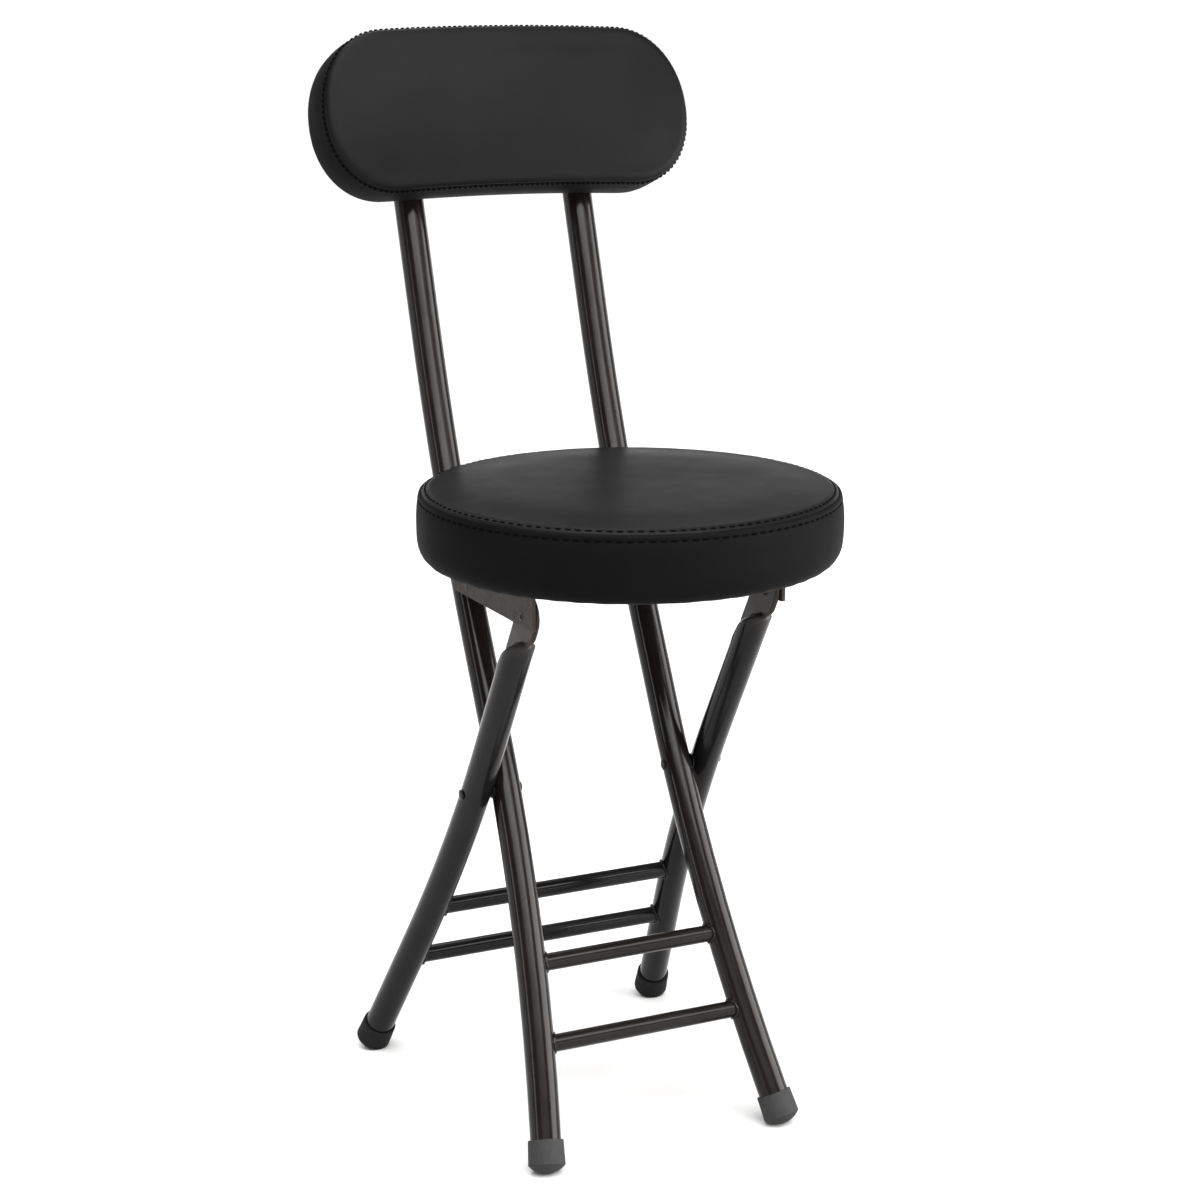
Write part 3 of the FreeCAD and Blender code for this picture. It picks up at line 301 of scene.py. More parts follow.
def foam_mat():
    m = Mat("pad_foam")
    m.colours(m.noise(90.0, 4.0), (0.3, (0.62, 0.56, 0.42)), (0.7, (0.72, 0.67, 0.54)))
    m.rough(m.remap(m.noise(300.0, 3.0), 0.3, 0.7, 0.85, 0.95))
    m.bump(m.voronoi(900.0, "F1"), 0.4, 0.0006)
    return m.m


def zinc(name, tone):
    """Zinc-plated steel with faint spangle and handling marks."""
    m = Mat(name)
    m.colours(m.voronoi(700.0, "F1"), (0.1, tuple(0.82 * c for c in tone)), (0.8, tone))
    m.rough(m.remap(m.noise(330.0, 4.0), 0.3, 0.7, 0.26, 0.44))
    m.bump(m.noise(900.0, 3.0, 0.6), 0.10, 0.0001)
    m.set(Metallic=1.0)
    return m.m


bracket_mat = bracket_coat()
rubber_mat = rubber("front_foot_rubber", 1.0, 0.20)
# The rear feet get the same rubber made darker, to 0.26, as painted shade.
rear_rubber_painted_shade_mat = rubber("rear_foot_rubber_painted_shade", 0.26, 0.13)
plug_mat = plastic()
shaded_stitch_mat = shaded_thread_mat()
dust_mat = cloth_mat()
wood_mat = plywood()
foam_material = foam_mat()
steel_mat = zinc("zinc_steel", (0.50, 0.50, 0.48))
staple_mat = zinc("staple_steel", (0.56, 0.55, 0.53))

FINISH = (
    ("upright_tube", front_paint), ("front_upper_rung", front_paint), ("front_lower_rung", front_paint),
    ("rear_leg_tube", shaded_rear_paint), ("rear_upper_rung", shaded_rear_paint), ("rear_lower_rung", shaded_rear_paint),
    ("cross_rivet", shaded_rivet_paint), ("cross_washer", shaded_rivet_paint), ("seat_rivet", shaded_rivet_paint),
    ("strap_rivets", shaded_rivet_paint), ("hook_pin", shaded_rivet_paint),
    ("seat_bracket", bracket_mat), ("hook_strap", bracket_mat),
    ("rear_foot", rear_rubber_painted_shade_mat), ("foot", rubber_mat), ("upright_plug", plug_mat),
    ("seat_screws", steel_mat), ("backrest_bolts", shaded_rivet_paint), ("tee_nuts", steel_mat),
    ("board", wood_mat), ("foam", foam_material), ("dust_cover", dust_mat),
    ("panel", seat_leather), ("band", seat_leather),
)
for name, obj in nodes.items():
    for key, mat in FINISH:
        if key in name:
            obj.data.materials.clear()
            obj.data.materials.append(mat)
            break
    else:
        raise RuntimeError("no finish for " + name)


# ---------------------------------------------------------------- mesh helpers
def add_mesh(name, verts, faces, mat, smooth=True, which=None):
    """New object; mat is one material or several, with the number of each face's own in which."""
    me = bpy.data.meshes.new(name)
    me.from_pydata([tuple(p) for p in verts], [], [tuple(f) for f in faces])
    me.polygons.foreach_set("use_smooth", [smooth] * len(me.polygons))
    for one in mat if isinstance(mat, tuple) else (mat,):
        me.materials.append(one)
    if which is not None:
        me.polygons.foreach_set("material_index", which)
    me.validate()
    me.update()
    obj = bpy.data.objects.new(name, me)
    scene.collection.objects.link(obj)
    return obj


def tidy(obj, gap=1e-6):
    """Welds coincident points and turns all faces outwards."""
    bm = bmesh.new()
    bm.from_mesh(obj.data)
    bmesh.ops.remove_doubles(bm, verts=bm.verts, dist=gap)
    bmesh.ops.recalc_face_normals(bm, faces=bm.faces)
    for f in bm.faces:
        f.smooth = True
    bm.to_mesh(obj.data)
    bm.free()
    obj.data.update()
    return obj


def rings_to_faces(rows, n, closed_rows=False):
    faces = []
    for i in range(rows if closed_rows else rows - 1):
        a, b = i * n, ((i + 1) % rows) * n
        for j in range(n):
            k = (j + 1) % n
            faces.append((a + j, a + k, b + k, b + j))
    return faces


def closed_tube(points, radii, sides=8, flat=1.0):
    """A ring of tube through closed points, with a radius at each of them."""
    p = np.asarray(points, float)
    n = len(p)
    t = np.roll(p, -1, 0) - np.roll(p, 1, 0)
    t /= np.linalg.norm(t, axis=1)[:, None]
    mid = p.mean(0)
    out = p - mid
    out -= (out * t).sum(1)[:, None] * t
    out /= np.linalg.norm(out, axis=1)[:, None]
    side = np.cross(t, out)
    verts = []
    for i in range(n):
        for k in range(sides):
            a = 2 * math.pi * k / sides
            verts.append(p[i] + radii[i] * (math.cos(a) * out[i] + flat * math.sin(a) * side[i]))
    return verts, rings_to_faces(n, sides, True)


def stitches(name, path, normals, count, length, dia, mat, sink=0.00035, rise=0.00022, slant=0.0, phase=0.5):
    """Separate lengths of thread along a closed path: each rises out of the cover, lies on it and dives back."""
    p, nrm = np.asarray(path, float), np.asarray(normals, float)
    seg = np.linalg.norm(np.roll(p, -1, 0) - p, axis=1)
    s = np.concatenate([[0.0], np.cumsum(seg)])
    total = s[-1]
    pp, nn = np.vstack([p, p[:1]]), np.vstack([nrm, nrm[:1]])

    def at(x):
        x = x % total
        i = min(np.searchsorted(s, x, "right") - 1, len(seg) - 1)
        f = (x - s[i]) / seg[i]
        return pp[i] * (1 - f) + pp[i + 1] * f, nn[i] * (1 - f) + nn[i + 1] * f

    steps, sides = 7, 7
    verts, faces = [], []
    for c in range(count):
        mid = (c + phase) * total / count
        wob = 0.10 * length * noise.noise(Vector((c * 1.7, 3.1, 0.4)))
        line, ups = [], []
        for i in range(steps):
            f = i / (steps - 1)
            q, up = at(mid + wob + (f - 0.5) * length)
            up = up / np.linalg.norm(up)
            lift = -sink + (sink + rise) * math.sin(math.pi * f) ** 0.6 if 0 < f < 1 else -sink
            line.append(q + up * lift)
            ups.append(up)
        line = np.array(line)
        base = len(verts)
        for i in range(steps):
            tg = line[min(i + 1, steps - 1)] - line[max(i - 1, 0)]
            tg /= np.linalg.norm(tg)
            sd = np.cross(tg, ups[i])
            sd /= np.linalg.norm(sd)
            up = np.cross(sd, tg)
            r = dia / 2 * (0.55 if i in (0, steps - 1) else 1.0)
            shift = sd * slant * (i / (steps - 1) - 0.5)
            for k in range(sides):
                a = 2 * math.pi * k / sides
                verts.append(line[i] + shift + r * (math.cos(a) * sd + math.sin(a) * up))
        for i in range(steps - 1):
            for k in range(sides):
                k2 = (k + 1) % sides
                faces.append((base + i * sides + k, base + i * sides + k2, base + (i + 1) * sides + k2, base + (i + 1) * sides + k))
        faces.append(tuple(base + k for k in reversed(range(sides))))
        faces.append(tuple(base + (steps - 1) * sides + k for k in range(sides)))
    return tidy(add_mesh(name, verts, faces, mat), 1e-7)


def soft_noise(x, y, z, size, seed):
    return noise.noise(Vector((x / size + seed * 3.7, y / size - seed * 1.9, z / size + seed * 0.8)))


# ---------------------------------------------------------------- covers swollen over their foam
def tree_of_points(points):
    tree = KDTree(len(points))
    for i, q in enumerate(points):
        tree.insert(q, i)
    tree.balance()
    return tree


def inflate(name, verts, faces, seam, reach, base, up, pressure, frames=20, voxel=0.005, cap=0.012):
    """Swells a slack copy of a cover, held along its seam and underneath. Gives its first points and how far each moved."""
    first = bpy.data.meshes.new(name)
    first.from_pydata([tuple(q) for q in verts], [], [tuple(f) for f in faces])
    bag = tidy(bpy.data.objects.new(name, first))
    scene.collection.objects.link(bag)
    skinning = bag.modifiers.new("skin", "REMESH")
    skinning.mode = "VOXEL"
    skinning.voxel_size = voxel
    skin = bpy.data.meshes.new_from_object(bag.evaluated_get(bpy.context.evaluated_depsgraph_get()))
    bag.modifiers.clear()
    bag.data = skin
    bpy.data.meshes.remove(first)

    rest = np.empty(len(skin.vertices) * 3)
    skin.vertices.foreach_get("co", rest)
    rest = rest.reshape(-1, 3)
    near_seam = tree_of_points(seam)
    held = [i for i, q in enumerate(rest) if (q - base) @ up < 0 or near_seam.find(q)[2] < reach]
    bag.vertex_groups.new(name="held").add(held, 1.0, "REPLACE")
    cover = bag.modifiers.new("cover", "CLOTH")
    cover.point_cache.frame_start, cover.point_cache.frame_end = 1, frames
    cover.settings.vertex_group_mass = "held"
    cover.settings.use_pressure = True
    cover.settings.uniform_pressure_force = pressure
    cover.settings.effector_weights.gravity = 0.0
    cover.collision_settings.use_collision = False
    for f in range(1, frames + 1):
        scene.frame_set(f)
    swollen = bag.evaluated_get(bpy.context.evaluated_depsgraph_get())
    end = np.empty(len(rest) * 3)
    swollen.to_mesh().vertices.foreach_get("co", end)
    swollen.to_mesh_clear()
    move = end.reshape(-1, 3) - rest
    far = np.linalg.norm(move, axis=1)[:, None]
    print(name, len(rest), "points, largest move", round(float(far.max()) * 1000, 2), "mm")
    move *= np.minimum(1.0, cap / np.maximum(far, 1e-9))

    pairs = np.empty(len(skin.edges) * 2, dtype=np.int64)
    skin.edges.foreach_get("vertices", pairs)
    a, b = pairs.reshape(-1, 2).T
    count = np.maximum(1, np.bincount(np.concatenate([a, b]), minlength=len(rest)))[:, None]
    for _ in range(6):
        total = np.zeros_like(move)
        np.add.at(total, a, move[b])
        np.add.at(total, b, move[a])
        move = 0.4 * move + 0.6 * total / count
    bpy.data.objects.remove(bag)
    bpy.data.meshes.remove(skin)
    scene.frame_set(1)
    return rest, move


def follow(rest, move, points, foam):
    """How far each of the points goes with the swollen cover. The foam under it gives out at that height."""
    tree = tree_of_points(rest)
    out = np.zeros_like(points)
    wide = 0.013
    for i, q in enumerate(points):
        near = tree.find_range(q, wide)
        if not near:
            continue
        w = np.array([(1 - (d / wide) ** 2) ** 2 for _, _, d in near])
        m = (move[[k for _, k, _ in near]] * w[:, None]).sum(0) / max(1e-9, w.sum())
        out[i] = m * (1 + (np.linalg.norm(m) / foam) ** 4) ** -0.25
    return out


# ---------------------------------------------------------------- round seat cushion
SEAT_Y = -0.06118
STITCHES = 130
COLS = STITCHES * 4

# Half profile in millimetres, (radius, height), from the middle of the top round to the middle of the underside.
seat_profile = []
for r in (0.0, 8, 16, 24, 32, 40, 48, 56, 64, 72, 80, 88, 95, 102, 108, 114, 119, 124, 128, 131.5, 134.5, 137.0, 139.0):
    seat_profile.append((r, 478.15 - 0.42 * (r / 139.0) ** 10))
TOP_ROW, LOW_ROW, SEAM = (143.5, 476.55), (148.42, 470.6), (145.75, 474.7)
seat_profile += [
    (140.4, 477.72), (141.5, 477.45), (142.5, 477.08), TOP_ROW, (144.4, 476.22), (145.05, 475.78),
    (145.5, 475.25), SEAM, (146.4, 475.0), (147.2, 474.82), (147.9, 474.2), (148.3, 473.2),
    (148.5, 472.2), (148.52, 471.3), LOW_ROW, (148.52, 469.9), (148.8, 468.9),
    (149.2, 467.4), (149.55, 465.2), (149.82, 462.0), (149.97, 458.5), (150.0, 454.5), (149.98, 450.5), (149.92, 447.2),
    (149.8, 444.2), (149.5, 440.9), (148.95, 437.6), (147.9, 434.4), (146.3, 431.5), (144.2, 429.2), (141.7, 427.5),
    (139.1, 426.5), (136.7, 426.25), (134.9, 426.7), (133.7, 427.6), (132.9, 428.35), (131.6, 428.5), (130.0, 428.52),
    (128.4, 428.7), (128.05, 429.2), (128.4, 429.62),
    (131.0, 429.64), (134.0, 429.64), (136.3, 429.64), (136.45, 431.0), (136.45, 436.0), (136.45, 440.2), (136.2, 440.95),
    (134.0, 441.0), (110.0, 441.0), (80.0, 441.0), (40.0, 441.0), (0.0, 441.0),
]
TOP_I, LOW_I, SEAM_I = seat_profile.index(TOP_ROW), seat_profile.index(LOW_ROW), seat_profile.index(SEAM)


def seat_point(r, z, a, i):
    """One point of the cushion, with the hand-made unevenness of foam under a stretched cover."""
    ca, sa = math.cos(a), math.sin(a)
    x, y = r * ca, r * sa
    top = i < TOP_I - 3
    if top:
        w = 1.0 - (r / 141.0) ** 8
        z += w * (0.45 * soft_noise(x, y, 0, 95.0, 1) + 0.25 * soft_noise(x, y, 0, 42.0, 2))
    if TOP_I - 3 <= i <= LOW_I + 3:
        # the thread draws the cover in at every stitch
        pull = 0.5 + 0.5 * math.cos(STITCHES * a)
        near_top = max(0.0, 1 - abs(i - TOP_I) / 2.0)
        near_low = max(0.0, 1 - abs(i - LOW_I) / 2.0)
        z -= 0.42 * near_top * pull
        r -= 0.25 * near_top * pull + 0.45 * near_low * pull
        z += 0.10 * soft_noise(x, y, 0, 14.0, 5)
    elif z < 471.0 and r > 137.0:
        k = math.sin(math.pi * min(1.0, max(0.0, (z - 430.0) / 41.0)))
        r += k * (0.30 * soft_noise(x, y, z * 1.5, 60.0, 3) + 0.12 * soft_noise(x, y, z * 2.5, 22.0, 4))
        tuck = max(0.0, 1.0 - abs(z - 428.5) / 4.0)
        z += tuck * 0.25 * math.sin(46 * a + 3 * math.sin(5 * a))
    return (r * math.cos(a) * MM, SEAT_Y + r * math.sin(a) * MM, z * MM)


verts = []
for i, (r, z) in enumerate(seat_profile):
    for j in range(COLS):
        verts.append(seat_point(r, z, 2 * math.pi * j / COLS, i))
bag_profile = (
    (0, 477.7), (40, 477.7), (80, 477.7), (120, 477.7), (141, 477.5), (145.5, 475.6), (148.0, 472.0), (148.7, 465.0), (149.3, 450.0),
    (148.4, 437.0), (144.0, 430.5), (130.0, 429.0), (60.0, 429.0), (0, 429.0),
)
ring = [(math.cos(2 * math.pi * j / 96), math.sin(2 * math.pi * j / 96)) for j in range(96)]
bag_verts = [(r * c * MM, SEAT_Y + r * q * MM, z * MM) for r, z in bag_profile for c, q in ring]
seam_line = [(SEAM[0] * c * MM, SEAT_Y + SEAM[0] * q * MM, SEAM[1] * MM) for c, q in ring]
rest, move = inflate(
    "seat_bag", bag_verts, rings_to_faces(len(bag_profile), 96), seam_line, 0.006, np.array((0, 0, 0.436)), np.array((0, 0, 1.0)), 4.0,
)
share = np.zeros(len(seat_profile))
for i, (r, z) in enumerate(seat_profile):
    if i < TOP_I - 3:
        share[i] = min(1.0, (141.5 - r) / 5.0)
    elif i > LOW_I + 3 and r > 140.0:
        share[i] = min(1.0, max(0.0, (468.0 - z) / 6.0), max(0.0, (z - 432.0) / 6.0))
verts = np.array(verts)
verts += follow(rest, move, verts, 0.0027) * np.repeat(share, COLS)[:, None]
which = [0 if i < SEAM_I else 1 for i in range(len(seat_profile) - 1) for j in range(COLS)]
cushion = tidy(add_mesh("seat_cushion", verts, rings_to_faces(len(seat_profile), COLS), (seat_leather, shaded_band_leather), which=which))


def seat_row(i):
    """Path and outward direction along one ring of the cushion, taken half way between the stitch holes."""
    r, z = seat_profile[i]
    (r0, z0), (r1, z1) = seat_profile[i - 2], seat_profile[i + 2]
    nr, nz = z0 - z1, r1 - r0
    ln = math.hypot(nr, nz)
    nr, nz = nr / ln, nz / ln
    path, nrm = [], []
    for j in range(COLS):
        a = 2 * math.pi * j / COLS
        path.append(seat_point(r, z, a, i))
        nrm.append((nr * math.cos(a), nr * math.sin(a), nz))
    return np.array(path), np.array(nrm)


p, n = seat_row(TOP_I)
seat_stitch_top = stitches("seat_stitches_top", p, n, STITCHES, 0.0045, 0.0015, shaded_stitch_mat, rise=0.0002, phase=0.0)
p, n = seat_row(LOW_I)
seat_stitch_low = stitches("seat_stitches_band", p, n, STITCHES, 0.0045, 0.0015, shaded_stitch_mat, rise=0.0002, phase=0.0)

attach(cushion, "seat")
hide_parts("seat_top_panel", "seat_band", "seat_foam")
for o in (seat_stitch_top, seat_stitch_low):
    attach(o, "seat")

# ---------------------------------------------------------------- backrest pad
DATUM = np.array((0.0, 184.57, 700.0))
BACK_UP = np.array((0.0, 0.3048, 0.9524))
BACK_OUT = np.array((0.0, -0.9524, 0.3048))
HALF_W, HALF_H, MID_H, END, POWER, ARCH, TILT = 146.5, 59.7, 10.9, 52.0, 2.11, 5.0, 0.009
BACK_STITCHES = 176
BCOLS = BACK_STITCHES * 4


def back_outline():
    """Closed outline of the pad in its own plane, evenly spaced, with outward directions."""
    t = np.linspace(0, 2 * math.pi, 6001)
    c, s = np.cos(t), np.sin(t)
    x = np.sign(c) * np.abs(c) ** (2 / POWER) * END + np.where(np.abs(c) < 1e-12, 0, np.sign(c)) * (HALF_W - END)
    h = np.sign(s) * np.abs(s) ** (2 / POWER) * HALF_H
    d = np.hypot(np.diff(x), np.diff(h))
    run = np.concatenate([[0], np.cumsum(d)])
    u = np.linspace(0, run[-1], BCOLS, endpoint=False)
    x, h = np.interp(u, run, x), np.interp(u, run, h)
    for _ in range(6):
        x = 0.25 * np.roll(x, 1) + 0.5 * x + 0.25 * np.roll(x, -1)
        h = 0.25 * np.roll(h, 1) + 0.5 * h + 0.25 * np.roll(h, -1)
    tx, th = np.roll(x, -1) - np.roll(x, 1), np.roll(h, -1) - np.roll(h, 1)
    ln = np.hypot(tx, th)
    return x, h, th / ln, -tx / ln


OX, OH, NX, NH = back_outline()


def back_world(x, h, n):
    """From the pad's own plane to the part's frame, with the slight arch of its long edges."""
    h2 = h + ARCH * (1 - (x / HALF_W) ** 2) - ARCH / 2
    x2, h2 = x + TILT * h2, h2 + MID_H - TILT * x
    return (DATUM + x2 * np.array((1.0, 0, 0)) + h2 * BACK_UP + n * BACK_OUT) * MM


# (how far inside the outline, height off the tubes' centre plane), from the middle of the front to the middle of the rear
FRONT_DEEP = HALF_H - 2.0
back_profile = []
for f in (1.0, 0.94, 0.86, 0.78, 0.70, 0.62, 0.54, 0.46, 0.39, 0.33, 0.275, 0.225, 0.18, 0.142, 0.11):
    d = f * FRONT_DEEP
    back_profile.append((d, 55.65))
back_profile += [
    (4.6, 55.35), (3.3, 54.8), (2.2, 54.1), (1.3, 53.3), (0.75, 52.6), (0.62, 52.0), (0.85, 51.45), (0.6, 50.9),
    (0.12, 50.5), (-0.1, 50.1), (-0.12, 49.5), (-0.1, 48.8), (-0.2, 47.4), (-0.45, 45.0), (-0.8, 41.5), (-1.1, 37.0),
    (-1.25, 32.5), (-1.25, 28.5), (-1.2, 24.8), (-1.05, 21.6), (-0.8, 18.8), (-0.3, 16.5), (0.55, 14.7), (1.9, 13.3),
    (3.6, 12.5), (5.4, 12.2), (7.2, 12.2), (8.2, 12.4), (8.8, 12.9), (9.4, 12.4), (10.4, 11.9), (13.0, 11.6), (20.0, 11.5), (32.0, 11.5), (46.0, 11.5), (FRONT_DEEP, 11.5),
]
EDGE_I = back_profile.index((0.62, 52.0))
BROW_I = back_profile.index((-0.12, 49.5))
REAR_I = back_profile.index((8.8, 12.9))


def back_ring(i, j, d, n):
    pull = 0.5 + 0.5 * math.cos(2 * math.pi * j / 4.0)
    near = max(0.0, 1 - abs(i - BROW_I) / 2.4)
    d += 0.24 * near * pull
    crest = max(0.0, 1 - abs(i - (EDGE_I - 1)) / 2.0)
    d += 0.16 * crest * pull
    n -= 0.12 * crest * pull
    # points deep inside run to the pad's middle line, not through it
    half = HALF_H
    share = min(1.0, d / half)
    if d <= 12.0:
        x, h = OX[j] - NX[j] * d, OH[j] - NH[j] * d
    else:
        x12, h12 = OX[j] - NX[j] * 12.0, OH[j] - NH[j] * 12.0
        mx = max(-(HALF_W - half), min(HALF_W - half, OX[j] * (HALF_W - half) / HALF_W * 1.12))
        f = (d - 12.0) / (FRONT_DEEP - 12.0)
        x, h = x12 * (1 - f) + mx * f, h12 * (1 - f)
    if n > 53.0 and d > 4.0:
        w = min(1.0, (d - 4.0) / 14.0)
        n += w * (0.55 * soft_noise(x, h, 0, 85.0, 7) + 0.22 * soft_noise(x, h, 0, 34.0, 8))
    elif -2.0 < d < 3.0 and 16.0 < n < 46.0:
        k = math.sin(math.pi * (n - 16.0) / 30.0)
        g = k * (0.35 * soft_noise(x, h, n * 1.5, 55.0, 9) + 0.15 * soft_noise(x, h, n * 2, 20.0, 10))
        x, h = x + NX[j] * g, h + NH[j] * g
    return back_world(x, h, n)


verts = []
for i, (d, n) in enumerate(back_profile):
    for j in range(BCOLS):
        verts.append(back_ring(i, j, d, n))
bag_profile = (
    (FRONT_DEEP, 55.6), (30, 55.6), (12, 55.6), (4.6, 55.2), (1.2, 53.0), (0.0, 49.5), (-0.6, 42.0), (-1.0, 30.0), (-0.8, 20.0),
    (2.0, 13.5), (8.0, 12.2), (30, 11.6), (FRONT_DEEP, 11.6),
)
bag_verts = [back_ring(-99, j, d, n) for d, n in bag_profile for j in range(0, BCOLS, 4)]
seam_line = [back_ring(-99, j, 0.7, 52.0) for j in range(0, BCOLS, 4)]
rest, move = inflate(
    "backrest_bag", bag_verts, rings_to_faces(len(bag_profile), BCOLS // 4), seam_line, 0.006,
    (DATUM + 18.0 * BACK_OUT) * MM, BACK_OUT, 90.0,
)
share = np.zeros(len(back_profile))
for i, (d, n) in enumerate(back_profile):
    if n > 55.5:
        share[i] = min(1.0, (d - 4.6) / 5.0)
    elif d < 0.0 and n < 46.0:
        share[i] = min(1.0, (46.0 - n) / 6.0, max(0.0, (n - 17.0) / 6.0))
verts = np.array(verts)
verts += follow(rest, move, verts, 0.0045) * np.repeat(share, BCOLS)[:, None]
which = [0 if i < EDGE_I + 1 else 1 for i in range(len(back_profile) - 1) for j in range(BCOLS)]
pad = tidy(add_mesh("backrest_pad", verts, rings_to_faces(len(back_profile), BCOLS), (back_leather, shaded_band_leather), which=which), 2e-5)


def back_row(i):
    d, n = back_profile[i]
    path = np.array([back_ring(i, j, d, n) for j in range(BCOLS)])
    d0, n0 = back_profile[i - 2]
    d1, n1 = back_profile[i + 2]
    a = np.array([back_ring(i - 2, j, d0, n0) for j in range(BCOLS)])
    b = np.array([back_ring(i + 2, j, d1, n1) for j in range(BCOLS)])
    tang = np.roll(path, -1, 0) - np.roll(path, 1, 0)
    nrm = np.cross(tang, a - b)
    nrm /= np.linalg.norm(nrm, axis=1)[:, None]
    return path, nrm


p, n = back_row(BROW_I)
mid = p.mean(0)
if ((p - mid) * n).sum() < 0:
    n = -n
back_stitch = stitches("backrest_stitches_front", p, n, BACK_STITCHES, 0.0029, 0.0014, shaded_stitch_mat, rise=0.00035, phase=0.0)
p, n = back_row(REAR_I - 4)
if ((p - p.mean(0)) * n).sum() < 0:
    n = -n
back_stitch_rear = stitches("backrest_stitches_rear", p, n, BACK_STITCHES, 0.0027, 0.0009, shaded_stitch_mat, phase=0.0)

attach(pad, "main_frame")
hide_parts("backrest_front_panel", "backrest_band", "backrest_foam", "backrest_rear_panel", "backrest_board")
for o in (back_stitch, back_stitch_rear):
    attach(o, "main_frame")

# ---------------------------------------------------------------- dust cloth and staples under the seat
CLOTH_R = 127.4
rows, cols = 44, 160
verts, faces = [], []
for i in range(rows):
    r = CLOTH_R * i / (rows - 1)
    for j in range(cols):
        a = 2 * math.pi * j / cols
        x, y = r * math.cos(a), r * math.sin(a)
        edge = 1 - (r / CLOTH_R) ** 10
        z = 428.95 + edge * (0.30 * soft_noise(x, y, 0, 46.0, 21) + 0.16 * soft_noise(x, y, 0, 17.0, 22))
        verts.append((x * MM, SEAT_Y + y * MM, z * MM))
faces = rings_to_faces(rows, cols)
dust = tidy(add_mesh("seat_dust_cloth", verts, faces, dust_mat))
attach(dust, "seat")
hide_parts("seat_dust_cover")

verts, faces = [], []
for k in range(40):
    a = 2 * math.pi * (k + 0.25 * soft_noise(k * 3.0, 1.0, 2.0, 1.0, 4)) / 40
    r = 131.2 + 0.8 * soft_noise(k * 2.3, 5.0, 1.0, 1.0, 6)
    turn = a + math.pi / 2 + 0.35 * soft_noise(k * 1.9, 2.0, 7.0, 1.0, 8)
    cx, cy = r * math.cos(a), r * math.sin(a)
    if math.hypot(abs(cx) - 98.2, cy - 88.0) < 9.0:
        continue
    dx, dy = math.cos(turn), math.sin(turn)
    line = [(-5.0, 0.6), (-5.0, 0.05), (-4.6, -0.3), (-4.0, -0.42), (4.0, -0.42), (4.6, -0.3), (5.0, 0.05), (5.0, 0.6)]
    base = len(verts)
    for s, dz in line:
        for w, hgt in ((-0.55, -0.2), (0.55, -0.2), (0.55, 0.2), (-0.55, 0.2)):
            verts.append(((cx + dx * s - dy * w) * MM, SEAT_Y + (cy + dy * s + dx * w) * MM, (428.5 + dz + hgt) * MM))
    for i in range(len(line) - 1):
        for q in range(4):
            q2 = (q + 1) % 4
            faces.append((base + 4 * i + q, base + 4 * i + q2, base + 4 * i + 4 + q2, base + 4 * i + 4 + q))
    faces.append((base + 3, base + 2, base + 1, base))
    e = base + 4 * (len(line) - 1)
    faces.append((e, e + 1, e + 2, e + 3))
staples = tidy(add_mesh("seat_staples", verts, faces, staple_mat), 1e-8)
for f in staples.data.polygons:
    f.use_smooth = False
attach(staples, "seat")


# ---------------------------------------------------------------- rear legs with their pressed ends
TUBE_R, BLADE_W, BLADE_T = 11.1, 16.7, 2.0


def leg_line(sx):
    """Centre line from the pivot down to the foot as points, with the run measured from the pivot, in millimetres."""
    top, knee, low = np.array((sx * 93.2, -92.52, 401.0)), np.array((sx * 93.2, 29.2, 198.0)), np.array((sx * 123.7, 147.92, 0.0))
    d1, d2 = knee - top, low - knee
    l1, l2 = np.linalg.norm(d1), np.linalg.norm(d2)
    d1, d2 = d1 / l1, d2 / l2
    tang = 106.0
    half = 0.5 * math.acos(float(d1 @ d2))
    rad = tang / math.tan(half)
    turn = d2 - (d2 @ d1) * d1
    turn /= np.linalg.norm(turn)
    arc = 2 * half * rad

    def at(s):
        if s < l1 - tang:
            return top + d1 * s, d1
        s2 = s - (l1 - tang)
        if s2 < arc:
            g = s2 / rad
            return top + d1 * (l1 - tang) + rad * (math.sin(g) * d1 + (1 - math.cos(g)) * turn), math.cos(g) * d1 + math.sin(g) * turn
        return knee + d2 * (tang + s2 - arc), d2

    return at, l1 - tang + arc + l2 - tang


def ease(x):
    x = min(1.0, max(0.0, x))
    return x * x * (3 - 2 * x)


def press_start(c):
    """How far below the pivot the tube begins to swell, at distance c behind the leg's centre line."""
    if c <= 3.0:
        return max(26.0 + 1.15 * c, math.sqrt(max(0.0, 19.5 ** 2 - c * c)), 18.45)
    return min(49.0, 29.45 + 4.4 * (c - 3.0))


def leg_section(s, n):
    """Points (behind, outward) of the leg's skin at the run s below the pivot."""
    if s < 0:
        wf = wr = math.sqrt(max(0.0, BLADE_W ** 2 - s * s))
    else:
        wf = BLADE_W + (TUBE_R - BLADE_W) * ease((s - 7.0) / 17.0)
        wr = BLADE_W - 2.2 * ease((s - 2.0) / 16.0) + (TUBE_R - BLADE_W + 2.2) * ease((s - 42.0) / 22.0)
    out = []
    for k in range(n):
        a = 2 * math.pi * k / n
        c = (wr if math.cos(a) > 0 else wf) * math.cos(a)
        w = wr if c > 0 else wf
        rim = math.hypot(s, c) - (BLADE_W - BLADE_T) if s < 0 else abs(c) - (w - BLADE_T)
        flat = BLADE_T * math.sqrt(max(0.0, 1 - min(1.0, max(0.0, rim / BLADE_T)) ** 2))
        full = TUBE_R * math.sqrt(max(0.0, 1 - (c / w) ** 2)) if w > 0 else 0.0
        t = min(1.0, max(0.0, (s - press_start(c)) / (7.5 if c < 0 else 7.5 + c)))
        swell = 1 - (1 - t) ** 2.2
        if c > 3.0:
            swell *= 1 - ease((c - 3.0) / 2.0) * (1 - ease(t / 0.3))
        h = flat + max(0.0, full - flat) * swell
        out.append((c, math.copysign(h, math.sin(a))))
    return out


